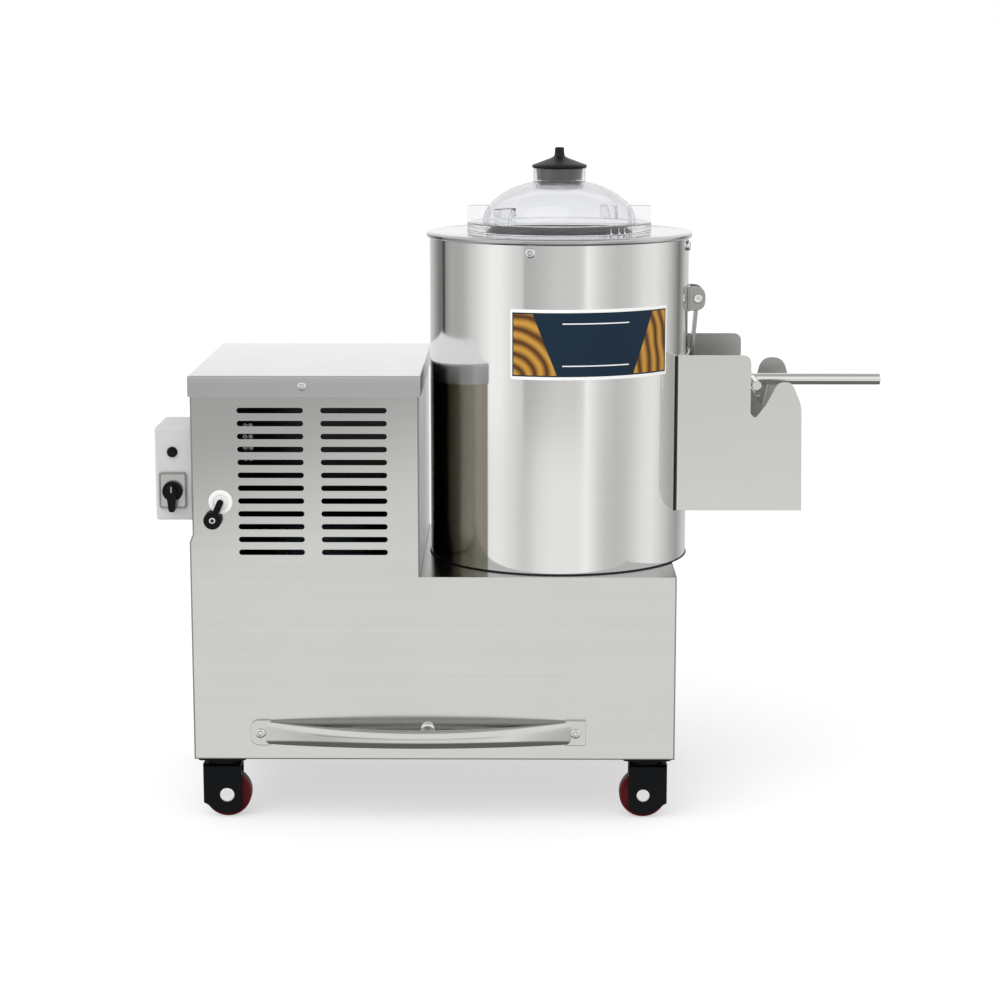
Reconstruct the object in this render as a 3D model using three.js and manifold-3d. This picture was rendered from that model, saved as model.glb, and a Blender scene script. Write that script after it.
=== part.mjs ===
// Electric potato peeler on castors: a steel cabinet with a louvred motor tower, an upright
// peeling drum with a clear lid, and an outlet chute with a lever-handled door.
// Millimetres, +Z up, front towards -Y. Places are first measured from the cabinet's left
// front edge on the floor; at the end the whole machine is centred over its footprint.

import * as THREE from 'three';
import { mergeVertices } from 'three/addons/utils/BufferGeometryUtils.js';
import { RoundedBoxGeometry } from 'three/addons/geometries/RoundedBoxGeometry.js';
import Module from 'manifold-3d';

const wasm = await Module();
wasm.setup();

// Driving dimensions

const clearance = 0.3; // gap kept between pieces that touch
const overrun = 6; // how far a cutting shape runs past the face it cuts
const sheet = 1.5; // stainless sheet of the cabinet

const cabinet = {
  width: 600,
  depth: 350,
  underside: 81,
  deck: 314,
  cornerRound: 3,
  panUpstand: 18,
};

const tower = {
  left: 4,
  right: 283,
  top: 562,
  shoulder: 357, // where the base narrows to the tower's left wall
  shoulderRise: 10,
  innerWallFlange: 20, // how far the inner wall reaches below the deck
};

const cover = {
  overhang: 2.5,
  skirt: 25.5,
  foldRadius: 1.4,
};

const louvres = {
  firstColumn: 101.5, // middle of the first column, from the cabinet's left side
  columnPitch: 102,
  columns: 2,
  length: 81,
  height: 6.6,
  topRow: 521,
  pitch: 16,
  rows: 12,
};

const handle = {
  middle: 280,
  height: 116.5,
  halfSpan: 209, // from the middle to the outer end of each foot
  footWidth: 26,
  footHeight: 32,
  footThickness: 5,
  footRound: 2,
  bow: 34, // how far the grip's axis stands off the panel
  gripHeight: 23,
  gripThickness: 14,
  rootHeight: 29,
};

const controlBox = {
  width: 46.7,
  front: 20,
  depth: 92,
  shoulderGap: 14.5, // underside, above the top of the tower's shoulder
  height: 116,
  wall: 2.5,
  edgeRound: 4,
};

const camSwitch = {
  across: 25.4, // from the tower's left wall out to the switch's axis
  rise: 37.1, // axis, above the box's underside
  plateWidth: 34,
  plateTop: 23,
  plateHeight: 45,
  plateRound: 4,
  plateThickness: 2.5,
  spindleRadius: 4,
  bodyWidth: 32,
  bodyHeight: 44,
  bodyDepth: 46,
  boreDepth: 40,
  spindleDepth: 34, // behind the box's front wall
  knobRadius: 12.5,
  knobThickness: 6,
  pointerRise: 9,
  pointerDrop: 24.5,
  pointerRootWidth: 13,
  pointerTipWidth: 7.5,
  pointerDepth: 15,
};

const startButton = {
  rise: 85.2, // axis, above the box's underside
  radius: 5.2,
  bezelRadius: 7.4,
  bezelThickness: 1.8,
  travel: 3,
  stemRadius: 3,
  stemLength: 16,
};

const keySwitch = {
  across: 39.6,
  height: 408,
  bezelRadius: 15,
  bezelThickness: 3,
  barrelRadius: 8.5,
  barrelDepth: 30,
  keywayRadius: 3.3,
  shankRadius: 3,
  shankLength: 12,
  bowThickness: 4,
  bowRadius: 11,
  bowHole: 2.6,
  stemWidth: 8,
  stemLength: 24,
  stemLean: 0.42, // radians from straight down, towards the cabinet's left side
};

const drumShift = 1; // the drum's axis behind the cabinet's middle

const drum = {
  axisX: 456,
  axisY: cabinet.depth / 2 + drumShift,
  radius: 165,
  wall: 2,
  top: 720,
  facets: 52,
};

const topPlate = {
  radius: 169,
  opening: 99.5,
  thickness: 2,
  beadHeight: 7.7,
  beadRound: 2,
  flangeWall: 2,
  flangeDrop: 14,
};

const liner = {
  wall: 4,
  bottom: 386,
  top: 699,
};

const drumFloor = {
  height: 330,
  thickness: 2,
  rim: 12,
  fall: 5, // how far the floor slopes down towards its middle
};

const disc = {
  radius: 154,
  top: 383.5,
  thickness: 11,
  waves: 3,
  waveHeight: 7,
  hubRadius: 24,
  facets: 30,
  nutRadius: 19,
  nutHeight: 14,
};

const shaft = {
  radius: 15,
  neckRadius: 10,
  threadRadius: 7,
  foot: 112,
};

const bearing = {
  flangeRadius: 70,
  flangeThickness: 8,
  barrelRadius: 32,
  barrelBottom: 182,
  neckRadius: 27,
  neckTop: 362,
};

const drive = {
  level: 134,
  drivenPitchRadius: 84,
  ratio: 3, // turns of the motor for one turn of the disc
  pulleyWidth: 22,
  grooveDepth: 12,
  beltWidth: 12,
  beltThickness: 8,
  grooveSlopeShare: 0.3, // side slope of the vee, as width over depth
  grooveGap: 0.5,
  hubRadius: 28,
  webThickness: 8,
  rimThickness: 7,
};

const motor = {
  axisX: 150,
  bodyRadius: 58,
  finHeight: 4,
  fins: 12,
  finWidthShare: 0.45,
  height: 186,
  capHeight: 26,
  capRadius: 60,
  shaftRadius: 12,
  shaftFoot: 116,
  shaftSocket: 120,
  shaftEndGap: 6,
  terminalWidth: 76,
  terminalDepth: 34,
  terminalHeight: 58,
  terminalRise: 60,
  edgeRound: 3,
};

const motorBracket = {
  top: 164,
  thickness: 4,
  length: 140,
  width: 160,
  shaftHole: 22,
};

const contactor = {
  bottom: 432,
  height: 86,
  width: 46,
  depth: 68,
  stepDepth: 18,
  stepHeight: 20,
  front: 60,
};

const drain = {
  offset: 105, // behind the drum's axis
  radius: 18,
  wall: 2.5,
  level: 240,
  bend: 34,
  reach: 26, // past the rear panel
};

const gland = {
  across: 60,
  height: 140,
  stemRadius: 8,
  nutRadius: 12,
  nutLength: 7,
  domeRadius: 10,
  domeLength: 12,
  bore: 4.5,
  stemLength: 12,
};

const chute = {
  bottom: 379.5,
  reach: 307, // from the drum's axis to the mouth
  halfWidth: 72,
  thickness: 2,
  top: 577,
  rearRise: 12, // how much taller the rear cheek stands
  shoulderReach: 240.5,
  shoulderRound: 11,
  notchFloor: 497,
  notchReach: 246.5,
  notchRound: 4,
  notchShoulder: 503,
  rampReach: 259.5,
  rampHeight: 514,
  mouthDrop: 29, // mouth's upper corner, below the hump's top
  mouthRound: 9,
  mouthLean: 2.5,
};

const frontHump = {
  top: 543,
  inner: 275, // from the drum's axis
  outer: 292,
  round: 8,
};

const rearHump = {
  top: 557.4,
  inner: 268,
  outer: 296,
  round: 13.5,
};

const outlet = {
  halfWidth: 64,
  sill: 384,
  head: 571,
};

const door = {
  halfWidth: 69.5,
  sillLap: 1.5,
  headLap: 5,
  gap: 0.8,
  thickness: 3,
  facets: 7,
};

const doorHinge = {
  standOff: 11, // pin axis, out from the drum's face
  height: 643.1,
  pinRadius: 4,
  pinHeadRadius: 6,
  pinHeadThickness: 3,
  earThickness: 4,
  earGapHalf: 15.6,
  earHeight: 31,
  earReach: 10,
  earRound: 14,
  padThickness: 2,
  padHalfWidth: 30,
  strapWidth: 30,
  strapThickness: 2.6,
  strapFoot: 561,
  eyeRadius: 7,
};

const doorHandle = {
  height: 538,
  pivotStandOff: 15, // pivot axis, out from the door's face
  rodRadius: 7.3,
  rodTip: 413, // from the drum's axis
  rodChamfer: 2,
  barReach: 248, // cross-bar axis, from the drum's axis
  barRadius: 6,
  barEndGap: 2,
  latchReach: 242, // upper inner corner of the latch plate, from the drum's axis
  latchLength: 28,
  latchDrop: 37, // its point, below the rod's axis
  latchPointShare: 0.72,
  latchThickness: 4,
  latchRound: 3,
  latchHole: 3.6,
  eyeRadius: 9,
  eyeWidth: 16,
  pinRadius: 4,
  earThickness: 4,
  earHeight: 26,
  earRound: 8,
  padThickness: 3,
  padHeight: 34,
};

const lid = {
  flangeRadius: 117,
  flangeThickness: 11,
  flangeRound: 1.5,
  spigotRadius: 98,
  spigotDepth: 9,
  wall: 3.5,
  domeRadius: 97,
  domeHeight: 54,
  neckRadius: 33,
  neckWall: 3,
  neckTop: 804,
  neckFoot: 781,
  lugInner: 88,
  lugWidth: 12,
  lugHeight: 21,
  lugAngles: [0, 48, 180, 228], // degrees, anticlockwise from the right
  domeSteps: 3,
  facets: 28,
};

const stopper = {
  brimRadius: 35,
  brimThickness: 4.5,
  coneTop: 821,
  nubRadius: 5.6,
  nubRootRadius: 7,
  nubTop: 833,
  plugDepth: 19,
  plugTaper: 1.2,
  plugGap: 0.6,
  plugWall: 3,
};

const castor = {
  inset: 34, // swivel axis, in from the cabinet's sides
  insetDepth: 34, // and in from its front and rear
  trail: 4,
  wheelRadius: 30,
  wheelWidth: 22,
  treadFlat: 15,
  hubRadius: 12,
  webRecess: 1.5,
  rimRadius: 25,
  facets: 20,
  axleRadius: 5,
  axleHeadRadius: 9.3,
  axleHeadThickness: 3,
  cheekThickness: 2.5,
  cheekGap: 1.6,
  cheekLead: 26,
  cheekTrail: 18,
  cheekSkirt: 19,
  cheekToe: 9,
  crownTop: 69.7,
  crownThickness: 4,
  plateSize: 60,
  plateThickness: 2.6,
  plateRound: 6,
  raceTopRadius: 31,
  raceFootRadius: 25,
};

// Places that follow from the sizes above

const shellBottom = cabinet.deck + clearance;
const plateTop = drum.top + topPlate.beadHeight + clearance;
const linerRadius = drum.radius - drum.wall - 2 * clearance;
const chuteFloorTop = chute.bottom + sheet;
const cheekOffset = chute.halfWidth;
const doorFace = drum.radius + door.gap + door.thickness;
const hingeX = drum.axisX + drum.radius + doorHinge.standOff;
const leverX = drum.axisX + doorFace + doorHandle.pivotStandOff;
const motorPitchRadius = drive.drivenPitchRadius / drive.ratio;
const boxBottom = tower.shoulder + tower.shoulderRise + controlBox.shoulderGap;
const knobX = tower.left - camSwitch.across;
const knobHeight = boxBottom + camSwitch.rise;
const buttonHeight = boxBottom + startButton.rise;
const axleHeight = castor.wheelRadius * Math.cos(Math.PI / castor.facets);
const leftOfBox = tower.left - clearance - controlBox.width;
const neckBore = lid.neckRadius - lid.neckWall;
const lidSeat = plateTop + clearance;
const domeBase = lidSeat + lid.flangeThickness;

// Finishes

const finish = (color, roughness, metalness) =>
  new THREE.MeshStandardMaterial({ color, roughness, metalness });
const brushedSteel = () => finish(0xc6c7c2, 0.38, 1);
const polishedSteel = () => finish(0xd4d5d2, 0.18, 1);
const machinedSteel = () => finish(0x9c9d9b, 0.35, 1);
const castIron = () => finish(0x5b5e60, 0.7, 0.6);
const blackPlastic = () => finish(0x17181a, 0.45, 0);
const blackPaint = () => finish(0x1b1c1e, 0.5, 0.2);
const greyPlastic = () => finish(0xd2d2d0, 0.5, 0);
const whitePlastic = () => finish(0xf0f0ee, 0.35, 0);
const redPolyurethane = () => finish(0x6e1f22, 0.4, 0);
const abrasive = () => finish(0x3b3a38, 0.95, 0);
const blackRubber = () => finish(0x202020, 0.85, 0);
const motorPaint = () => finish(0x6f7f88, 0.5, 0.3);
const clearPlastic = () => {
  const material = finish(0xe8ebf0, 0.08, 0);
  material.transparent = true;
  material.opacity = 0.35;
  return material;
};

// Geometry helpers

/** Merge shared corners, drop collapsed triangles and turn every face outwards. */
function closed(geometry) {
  const bare = geometry.clone();
  bare.deleteAttribute('normal');
  bare.deleteAttribute('uv');
  const merged = mergeVertices(bare);
  const place = merged.getAttribute('position');
  const corners = [0, 1, 2].map(() => new THREE.Vector3());
  const faces = [];
  let volume = 0;
  for (let start = 0; start < merged.index.count; start += 3) {
    const face = [0, 1, 2].map((corner) => merged.index.getX(start + corner));
    if (new Set(face).size === 3) {
      face.forEach((vertex, corner) => corners[corner].fromBufferAttribute(place, vertex));
      volume += corners[0].dot(corners[1].cross(corners[2]));
      faces.push(face);
    }
  }
  merged.setIndex(faces.flatMap((face) => (volume < 0 ? [...face].reverse() : face)));
  return merged;
}

/** The closed solid that manifold-3d can join and cut. */
function asManifold(geometry) {
  const shell = closed(geometry);
  return new wasm.Manifold(new wasm.Mesh({
    numProp: 3,
    vertProperties: new Float32Array(shell.getAttribute('position').array),
    triVerts: new Uint32Array(shell.index.array),
  }));
}

function asGeometry(solid) {
  const mesh = solid.getMesh();
  const geometry = new THREE.BufferGeometry();
  geometry.setAttribute('position', new THREE.BufferAttribute(mesh.vertProperties, 3));
  geometry.setIndex(new THREE.BufferAttribute(mesh.triVerts, 1));
  return geometry;
}

function join(first, ...others) {
  return asGeometry(others.reduce((sum, next) => sum.add(asManifold(next)), asManifold(first)));
}

function cut(first, ...others) {
  return asGeometry(others.reduce((sum, next) => sum.subtract(asManifold(next)), asManifold(first)));
}

/** A named mesh with its faces turned outwards. */
function piece(name, geometry, material) {
  const shell = closed(geometry);
  shell.computeVertexNormals();
  const mesh = new THREE.Mesh(shell, material);
  mesh.name = name;
  return mesh;
}

/** A box between two corners, each given as [x, y, z]. */
function block(low, high) {
  const [width, depth, height] = high.map((value, axis) => value - low[axis]);
  const middle = high.map((value, axis) => (value + low[axis]) / 2);
  return new THREE.BoxGeometry(width, depth, height).translate(...middle);
}

/** The same box with all its edges rounded. */
function softBlock(low, high, radius, steps = 2) {
  const [width, depth, height] = high.map((value, axis) => value - low[axis]);
  const middle = high.map((value, axis) => (value + low[axis]) / 2);
  return new RoundedBoxGeometry(width, depth, height, steps, radius).translate(...middle);
}

/** An outline through corners [x, y, round], with each corner's round cut back along its sides. */
function outline(corners) {
  const shape = new THREE.Shape();
  corners.forEach(([x, y, round = 0], index) => {
    const corner = new THREE.Vector2(x, y);
    const before = corners[(index + corners.length - 1) % corners.length];
    const after = corners[(index + 1) % corners.length];
    const toBefore = new THREE.Vector2(before[0], before[1]).sub(corner).setLength(round);
    const toAfter = new THREE.Vector2(after[0], after[1]).sub(corner).setLength(round);
    const start = corner.clone().add(toBefore);
    const end = corner.clone().add(toAfter);
    if (index === 0) shape.moveTo(start.x, start.y);
    else shape.lineTo(start.x, start.y);
    if (round > 0) shape.quadraticCurveTo(x, y, end.x, end.y);
  });
  shape.closePath();
  return shape;
}

/** Extrude a shape drawn in X and Y upwards from one height to another. */
function upright(shape, bottom, top, steps = 6) {
  const options = { depth: top - bottom, bevelEnabled: false, curveSegments: steps };
  return new THREE.ExtrudeGeometry(shape, options).translate(0, 0, bottom);
}

/** Extrude a shape drawn in X and Z (as its x and y) from one depth to another along Y. */
function sideways(shape, front, rear, steps = 6) {
  const options = { depth: rear - front, bevelEnabled: false, curveSegments: steps };
  return new THREE.ExtrudeGeometry(shape, options).rotateX(Math.PI / 2).translate(0, rear, 0);
}

/** Revolve a closed profile of [radius, height] about an upright axis at x, y. */
function turned(profile, x, y, facets) {
  const points = [...profile, profile[0]].map(([radius, height]) => new THREE.Vector2(radius, height));
  return new THREE.LatheGeometry(points, facets).rotateX(Math.PI / 2).translate(x, y, 0);
}

/** Revolve a closed profile of [radius, depth] about an axis along Y through x, z. */
function turnedAlongY(profile, x, z, facets) {
  const points = [...profile, profile[0]].map(([radius, depth]) => new THREE.Vector2(radius, depth));
  return new THREE.LatheGeometry(points, facets).translate(x, 0, z);
}

function post(radius, x, y, bottom, top, facets = 18) {
  const height = top - bottom;
  const geometry = new THREE.CylinderGeometry(radius, radius, height, facets);
  return geometry.rotateX(Math.PI / 2).translate(x, y, (top + bottom) / 2);
}

function rod(radius, x, z, front, rear, facets = 18) {
  const geometry = new THREE.CylinderGeometry(radius, radius, rear - front, facets);
  return geometry.translate(x, (front + rear) / 2, z);
}

/** Close rings of points into a solid; a looped loft joins its last ring to its first. */
function loft(rings, looped = false) {
  const count = rings[0].length;
  const positions = rings.flat().flatMap((point) => [point.x, point.y, point.z]);
  const faces = [];
  const spans = looped ? rings.length : rings.length - 1;
  for (let ring = 0; ring < spans; ring += 1) {
    const next = (ring + 1) % rings.length;
    for (let side = 0; side < count; side += 1) {
      const a = ring * count + side;
      const b = ring * count + ((side + 1) % count);
      const c = next * count + side;
      const d = next * count + ((side + 1) % count);
      faces.push(a, c, b, b, c, d);
    }
  }
  if (!looped) {
    const last = (rings.length - 1) * count;
    for (let side = 1; side < count - 1; side += 1) {
      faces.push(0, side, side + 1);
      faces.push(last, last + side + 1, last + side);
    }
  }
  const geometry = new THREE.BufferGeometry();
  geometry.setAttribute('position', new THREE.Float32BufferAttribute(positions, 3));
  geometry.setIndex(faces);
  return geometry;
}

/** A sector of a ring about the drum's axis, facing the chute, from one height to another. */
function drumSector(innerRadius, outerRadius, halfWidth, bottom, top) {
  const half = Math.asin(halfWidth / outerRadius);
  const shape = new THREE.Shape();
  shape.absarc(drum.axisX, drum.axisY, outerRadius, -half, half, false);
  shape.absarc(drum.axisX, drum.axisY, innerRadius, half, -half, true);
  shape.closePath();
  return upright(shape, bottom, top, Math.ceil(door.facets * halfWidth / door.halfWidth));
}

/** How far the drum's face stands out from its axis towards the chute, at a sideways offset. */
function drumFaceAt(offset) {
  return drum.axisX + Math.sqrt(drum.radius ** 2 - offset ** 2);
}

// Cabinet

/** The L of tower and base that front and rear panels share, in X and Z. */
function cabinetOutline() {
  const shoulderTop = tower.shoulder + tower.shoulderRise;
  return outline([
    [0, cabinet.underside, 0],
    [cabinet.width, cabinet.underside, 0],
    [cabinet.width, cabinet.deck, cabinet.cornerRound],
    [tower.right, cabinet.deck, 0],
    [tower.right, tower.top, 0],
    [tower.left, tower.top, 0],
    [tower.left, shoulderTop, 0],
    [0, tower.shoulder, 0],
  ]);
}

function louvreSlots() {
  const round = louvres.height / 2;
  const straight = louvres.length / 2 - round;
  const slots = [];
  for (let row = 0; row < louvres.rows; row += 1) {
    const height = louvres.topRow - row * louvres.pitch;
    for (let column = 0; column < louvres.columns; column += 1) {
      const middle = louvres.firstColumn + column * louvres.columnPitch;
      const slot = new THREE.Path();
      slot.absarc(middle + straight, height, round, -Math.PI / 2, Math.PI / 2, false);
      slot.absarc(middle - straight, height, round, Math.PI / 2, -Math.PI / 2, false);
      slot.closePath();
      slots.push(slot);
    }
  }
  return slots;
}

function roundHole(x, y, radius) {
  const sides = 24;
  const points = [];
  for (let side = 0; side < sides; side += 1) {
    const angle = (2 * Math.PI * side) / sides;
    points.push(new THREE.Vector2(x + radius * Math.cos(angle), y + radius * Math.sin(angle)));
  }
  return new THREE.Path(points);
}

function buildFrontPanel() {
  const shape = cabinetOutline();
  const barrelHole = keySwitch.barrelRadius + clearance;
  shape.holes.push(...louvreSlots(), roundHole(keySwitch.across, keySwitch.height, barrelHole));
  return piece('front_panel', sideways(shape, 0, sheet, 2), brushedSteel());
}

function buildRearPanel() {
  const shape = cabinetOutline();
  shape.holes.push(roundHole(gland.across, gland.height, gland.stemRadius + clearance));
  shape.holes.push(roundHole(drum.axisX, drain.level, drain.radius + clearance));
  const panel = sideways(shape, cabinet.depth - sheet, cabinet.depth, 8);
  return piece('rear_panel', panel, brushedSteel());
}

const innerFront = sheet + clearance;
const innerRear = cabinet.depth - sheet - clearance;

function buildSidePanels() {
  const shoulderTop = tower.shoulder + tower.shoulderRise;
  const bent = outline([
    [0, cabinet.underside],
    [sheet, cabinet.underside],
    [sheet, tower.shoulder],
    [tower.left + sheet, shoulderTop],
    [tower.left + sheet, tower.top],
    [tower.left, tower.top],
    [tower.left, shoulderTop],
    [0, tower.shoulder],
  ]);
  const left = sideways(bent, innerFront, innerRear);
  const rightLow = [cabinet.width - sheet, innerFront, cabinet.underside];
  const right = block(rightLow, [cabinet.width, innerRear, cabinet.deck]);
  return [
    piece('left_panel', left, brushedSteel()),
    piece('right_panel', right, brushedSteel()),
  ];
}

/** The tower's wall beside the drum, standing on the deck's edge with a flange below it. */
function buildTowerInnerPanel() {
  const low = [tower.right - sheet, innerFront, cabinet.deck - tower.innerWallFlange];
  const wall = block(low, [tower.right, innerRear, tower.top]);
  return piece('tower_inner_panel', wall, brushedSteel());
}

function buildDeck() {
  const low = [tower.right + clearance, innerFront, cabinet.deck - sheet];
  const high = [cabinet.width - sheet - clearance, innerRear, cabinet.deck];
  const neckHole = post(
    bearing.neckRadius + clearance, drum.axisX, drum.axisY, low[2] - overrun, high[2] + overrun,
    24,
  );
  const drainY = drum.axisY + drain.offset;
  const drainHole = post(
    drain.radius + clearance, drum.axisX, drainY, low[2] - overrun, high[2] + overrun,
    24,
  );
  return piece('deck_panel', cut(block(low, high), neckHole, drainHole), brushedSteel());
}

function buildBasePan() {
  const left = sheet + clearance;
  const right = cabinet.width - sheet - clearance;
  const top = cabinet.underside + cabinet.panUpstand;
  const tray = block([left, innerFront, cabinet.underside], [right, innerRear, top]);
  const hollow = block(
    [left + sheet, innerFront + sheet, cabinet.underside + sheet],
    [right - sheet, innerRear - sheet, top + overrun],
  );
  return piece('base_pan', cut(tray, hollow), brushedSteel());
}

/** The tower's lid: one folded sheet with a skirt all round. */
function buildTowerCover() {
  const left = tower.left - cover.overhang;
  const right = tower.right + cover.overhang;
  const rear = cabinet.depth + cover.overhang;
  const top = tower.top + clearance + sheet;
  const bottom = top - cover.skirt;
  const folded = softBlock([left, -cover.overhang, bottom - overrun], [right, rear, top], cover.foldRadius);
  const hollow = block(
    [left + sheet, sheet - cover.overhang, bottom - 2 * overrun],
    [right - sheet, rear - sheet, top - sheet],
  );
  const trim = block(
    [left - overrun, -cover.overhang - overrun, bottom - 2 * overrun],
    [right + overrun, rear + overrun, bottom],
  );
  return piece('tower_cover', cut(folded, hollow, trim), brushedSteel());
}

// Grab handle on the base

/** One ring of the grip: an oval that is tall and thin at the feet, rounder in the middle. */
function gripRing(share) {
  const sides = 10;
  const bulge = 1 - share * share;
  const reach = handle.halfSpan - handle.footWidth;
  const halfHeight = (handle.rootHeight + (handle.gripHeight - handle.rootHeight) * bulge) / 2;
  const halfThick = (handle.footThickness + (handle.gripThickness - handle.footThickness) * bulge) / 2;
  const rootDepth = clearance + handle.footThickness / 2;
  const depth = rootDepth + (handle.bow - rootDepth) * bulge;
  const ring = [];
  for (let side = 0; side < sides; side += 1) {
    const angle = (2 * Math.PI * side) / sides;
    ring.push(new THREE.Vector3(
      handle.middle + share * (reach + handle.footWidth / 3),
      halfThick * Math.cos(angle) - depth,
      handle.height + halfHeight * Math.sin(angle),
    ));
  }
  return ring;
}

function buildFrontHandle() {
  const steps = 12;
  const rings = [];
  for (let step = 0; step <= steps; step += 1) rings.push(gripRing((2 * step) / steps - 1));
  const low = handle.height - handle.footHeight / 2;
  const high = handle.height + handle.footHeight / 2;
  const outerLeft = handle.middle - handle.halfSpan;
  const outerRight = handle.middle + handle.halfSpan;
  const endRound = handle.footHeight / 2 - handle.footRound;
  const leftFoot = outline([
    [outerLeft, low, endRound],
    [outerLeft + handle.footWidth, low, handle.footRound],
    [outerLeft + handle.footWidth, high, handle.footRound],
    [outerLeft, high, endRound],
  ]);
  const rightFoot = outline([
    [outerRight - handle.footWidth, low, handle.footRound],
    [outerRight, low, handle.footRound],
    [outerRight, high, handle.footRound],
    [outerRight - handle.footWidth, high, handle.footRound],
  ]);
  const front = -clearance - handle.footThickness;
  const feet = [leftFoot, rightFoot].map((shape) => sideways(shape, front, -clearance, 5));
  return piece('front_handle', join(loft(rings), ...feet), polishedSteel());
}

// Controls

function buildControlBox() {
  const right = tower.left - clearance;
  const rear = controlBox.front + controlBox.depth;
  const top = boxBottom + controlBox.height;
  const { wall } = controlBox;
  const shell = softBlock(
    [leftOfBox, controlBox.front, boxBottom], [right, rear, top], controlBox.edgeRound, 1,
  );
  const hollow = block(
    [leftOfBox + wall, controlBox.front + wall, boxBottom + wall],
    [right + overrun, rear - wall, top - wall],
  );
  const face = controlBox.front;
  const spindleHole = rod(
    camSwitch.spindleRadius + clearance, knobX, knobHeight, face - overrun, face + wall + overrun,
  );
  const buttonHole = rod(
    startButton.radius + clearance, knobX, buttonHeight, face - overrun, face + wall + overrun,
  );
  return piece('control_box', cut(shell, hollow, spindleHole, buttonHole), greyPlastic());
}

function buildSwitchPlate() {
  const half = camSwitch.plateWidth / 2;
  const top = knobHeight + camSwitch.plateTop;
  const bottom = top - camSwitch.plateHeight;
  const round = camSwitch.plateRound;
  const shape = outline([
    [knobX - half, bottom, round],
    [knobX + half, bottom, round],
    [knobX + half, top, round],
    [knobX - half, top, round],
  ]);
  shape.holes.push(roundHole(knobX, knobHeight, camSwitch.spindleRadius + clearance));
  const rear = controlBox.front - clearance;
  return piece('switch_plate', sideways(shape, rear - camSwitch.plateThickness, rear, 3), machinedSteel());
}

/** The cam switch's contact block behind the box's front wall, bored for the spindle. */
function buildSwitchBody() {
  const front = controlBox.front + controlBox.wall + clearance;
  const rear = front + camSwitch.bodyDepth;
  const halfWidth = camSwitch.bodyWidth / 2;
  const halfHeight = camSwitch.bodyHeight / 2;
  const body = block(
    [knobX - halfWidth, front, knobHeight - halfHeight],
    [knobX + halfWidth, rear, knobHeight + halfHeight],
  );
  const bore = rod(
    camSwitch.spindleRadius + clearance, knobX, knobHeight, front - overrun, front + camSwitch.boreDepth,
  );
  return piece('cam_switch_body', cut(body, bore), blackPlastic());
}

/** A round knob with a tapered pointer grip and its spindle, as one moulding. */
function buildKnob() {
  const plateFront = controlBox.front - clearance - camSwitch.plateThickness;
  const rear = plateFront - clearance;
  const front = rear - camSwitch.knobThickness;
  const base = rod(camSwitch.knobRadius, knobX, knobHeight, front, rear, 24);
  const tip = camSwitch.pointerTipWidth / 2;
  const root = camSwitch.pointerRootWidth / 2;
  const grip = outline([
    [knobX - tip, knobHeight - camSwitch.pointerDrop, tip],
    [knobX + tip, knobHeight - camSwitch.pointerDrop, tip],
    [knobX + root, knobHeight, 0],
    [knobX + tip, knobHeight + camSwitch.pointerRise, tip],
    [knobX - tip, knobHeight + camSwitch.pointerRise, tip],
    [knobX - root, knobHeight, 0],
  ]);
  const lever = sideways(grip, rear - camSwitch.pointerDepth, rear, 4);
  const spindleEnd = controlBox.front + controlBox.wall + camSwitch.spindleDepth;
  const spindle = rod(camSwitch.spindleRadius, knobX, knobHeight, front, spindleEnd);
  return piece('switch_knob', join(base, lever, spindle), blackPlastic());
}

function buildStartButton() {
  const face = controlBox.front;
  const bezelRear = face - clearance;
  const bezel = turnedAlongY([
    [startButton.radius + clearance, bezelRear - startButton.bezelThickness],
    [startButton.bezelRadius, bezelRear - startButton.bezelThickness],
    [startButton.bezelRadius, bezelRear],
    [startButton.radius + clearance, bezelRear],
  ], knobX, buttonHeight, 20);
  const capFront = face + clearance - startButton.bezelThickness - startButton.travel;
  const capRear = face + controlBox.wall;
  const cap = rod(startButton.radius, knobX, buttonHeight, capFront, capRear, 18);
  const stemEnd = capRear + startButton.stemLength;
  const stem = rod(startButton.stemRadius, knobX, buttonHeight, face, stemEnd, 16);
  return [
    piece('button_bezel', bezel, blackPlastic()),
    piece('start_button', join(cap, stem), blackPlastic()),
  ];
}

function buildKeySwitch() {
  const { across, height } = keySwitch;
  const bezelFront = -clearance - keySwitch.bezelThickness;
  const bore = keySwitch.barrelRadius + clearance;
  const bezel = turnedAlongY([
    [bore, bezelFront],
    [keySwitch.bezelRadius - keySwitch.bezelThickness / 2, bezelFront],
    [keySwitch.bezelRadius, bezelFront + keySwitch.bezelThickness / 2],
    [keySwitch.bezelRadius, -clearance],
    [bore, -clearance],
  ], across, height, 20);
  const barrel = cut(
    rod(keySwitch.barrelRadius, across, height, bezelFront, keySwitch.barrelDepth),
    rod(keySwitch.keywayRadius, across, height, bezelFront - overrun, keySwitch.barrelDepth / 2, 16),
  );
  return [
    piece('key_switch_bezel', bezel, whitePlastic()),
    piece('key_switch_barrel', barrel, whitePlastic()),
  ];
}

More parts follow.
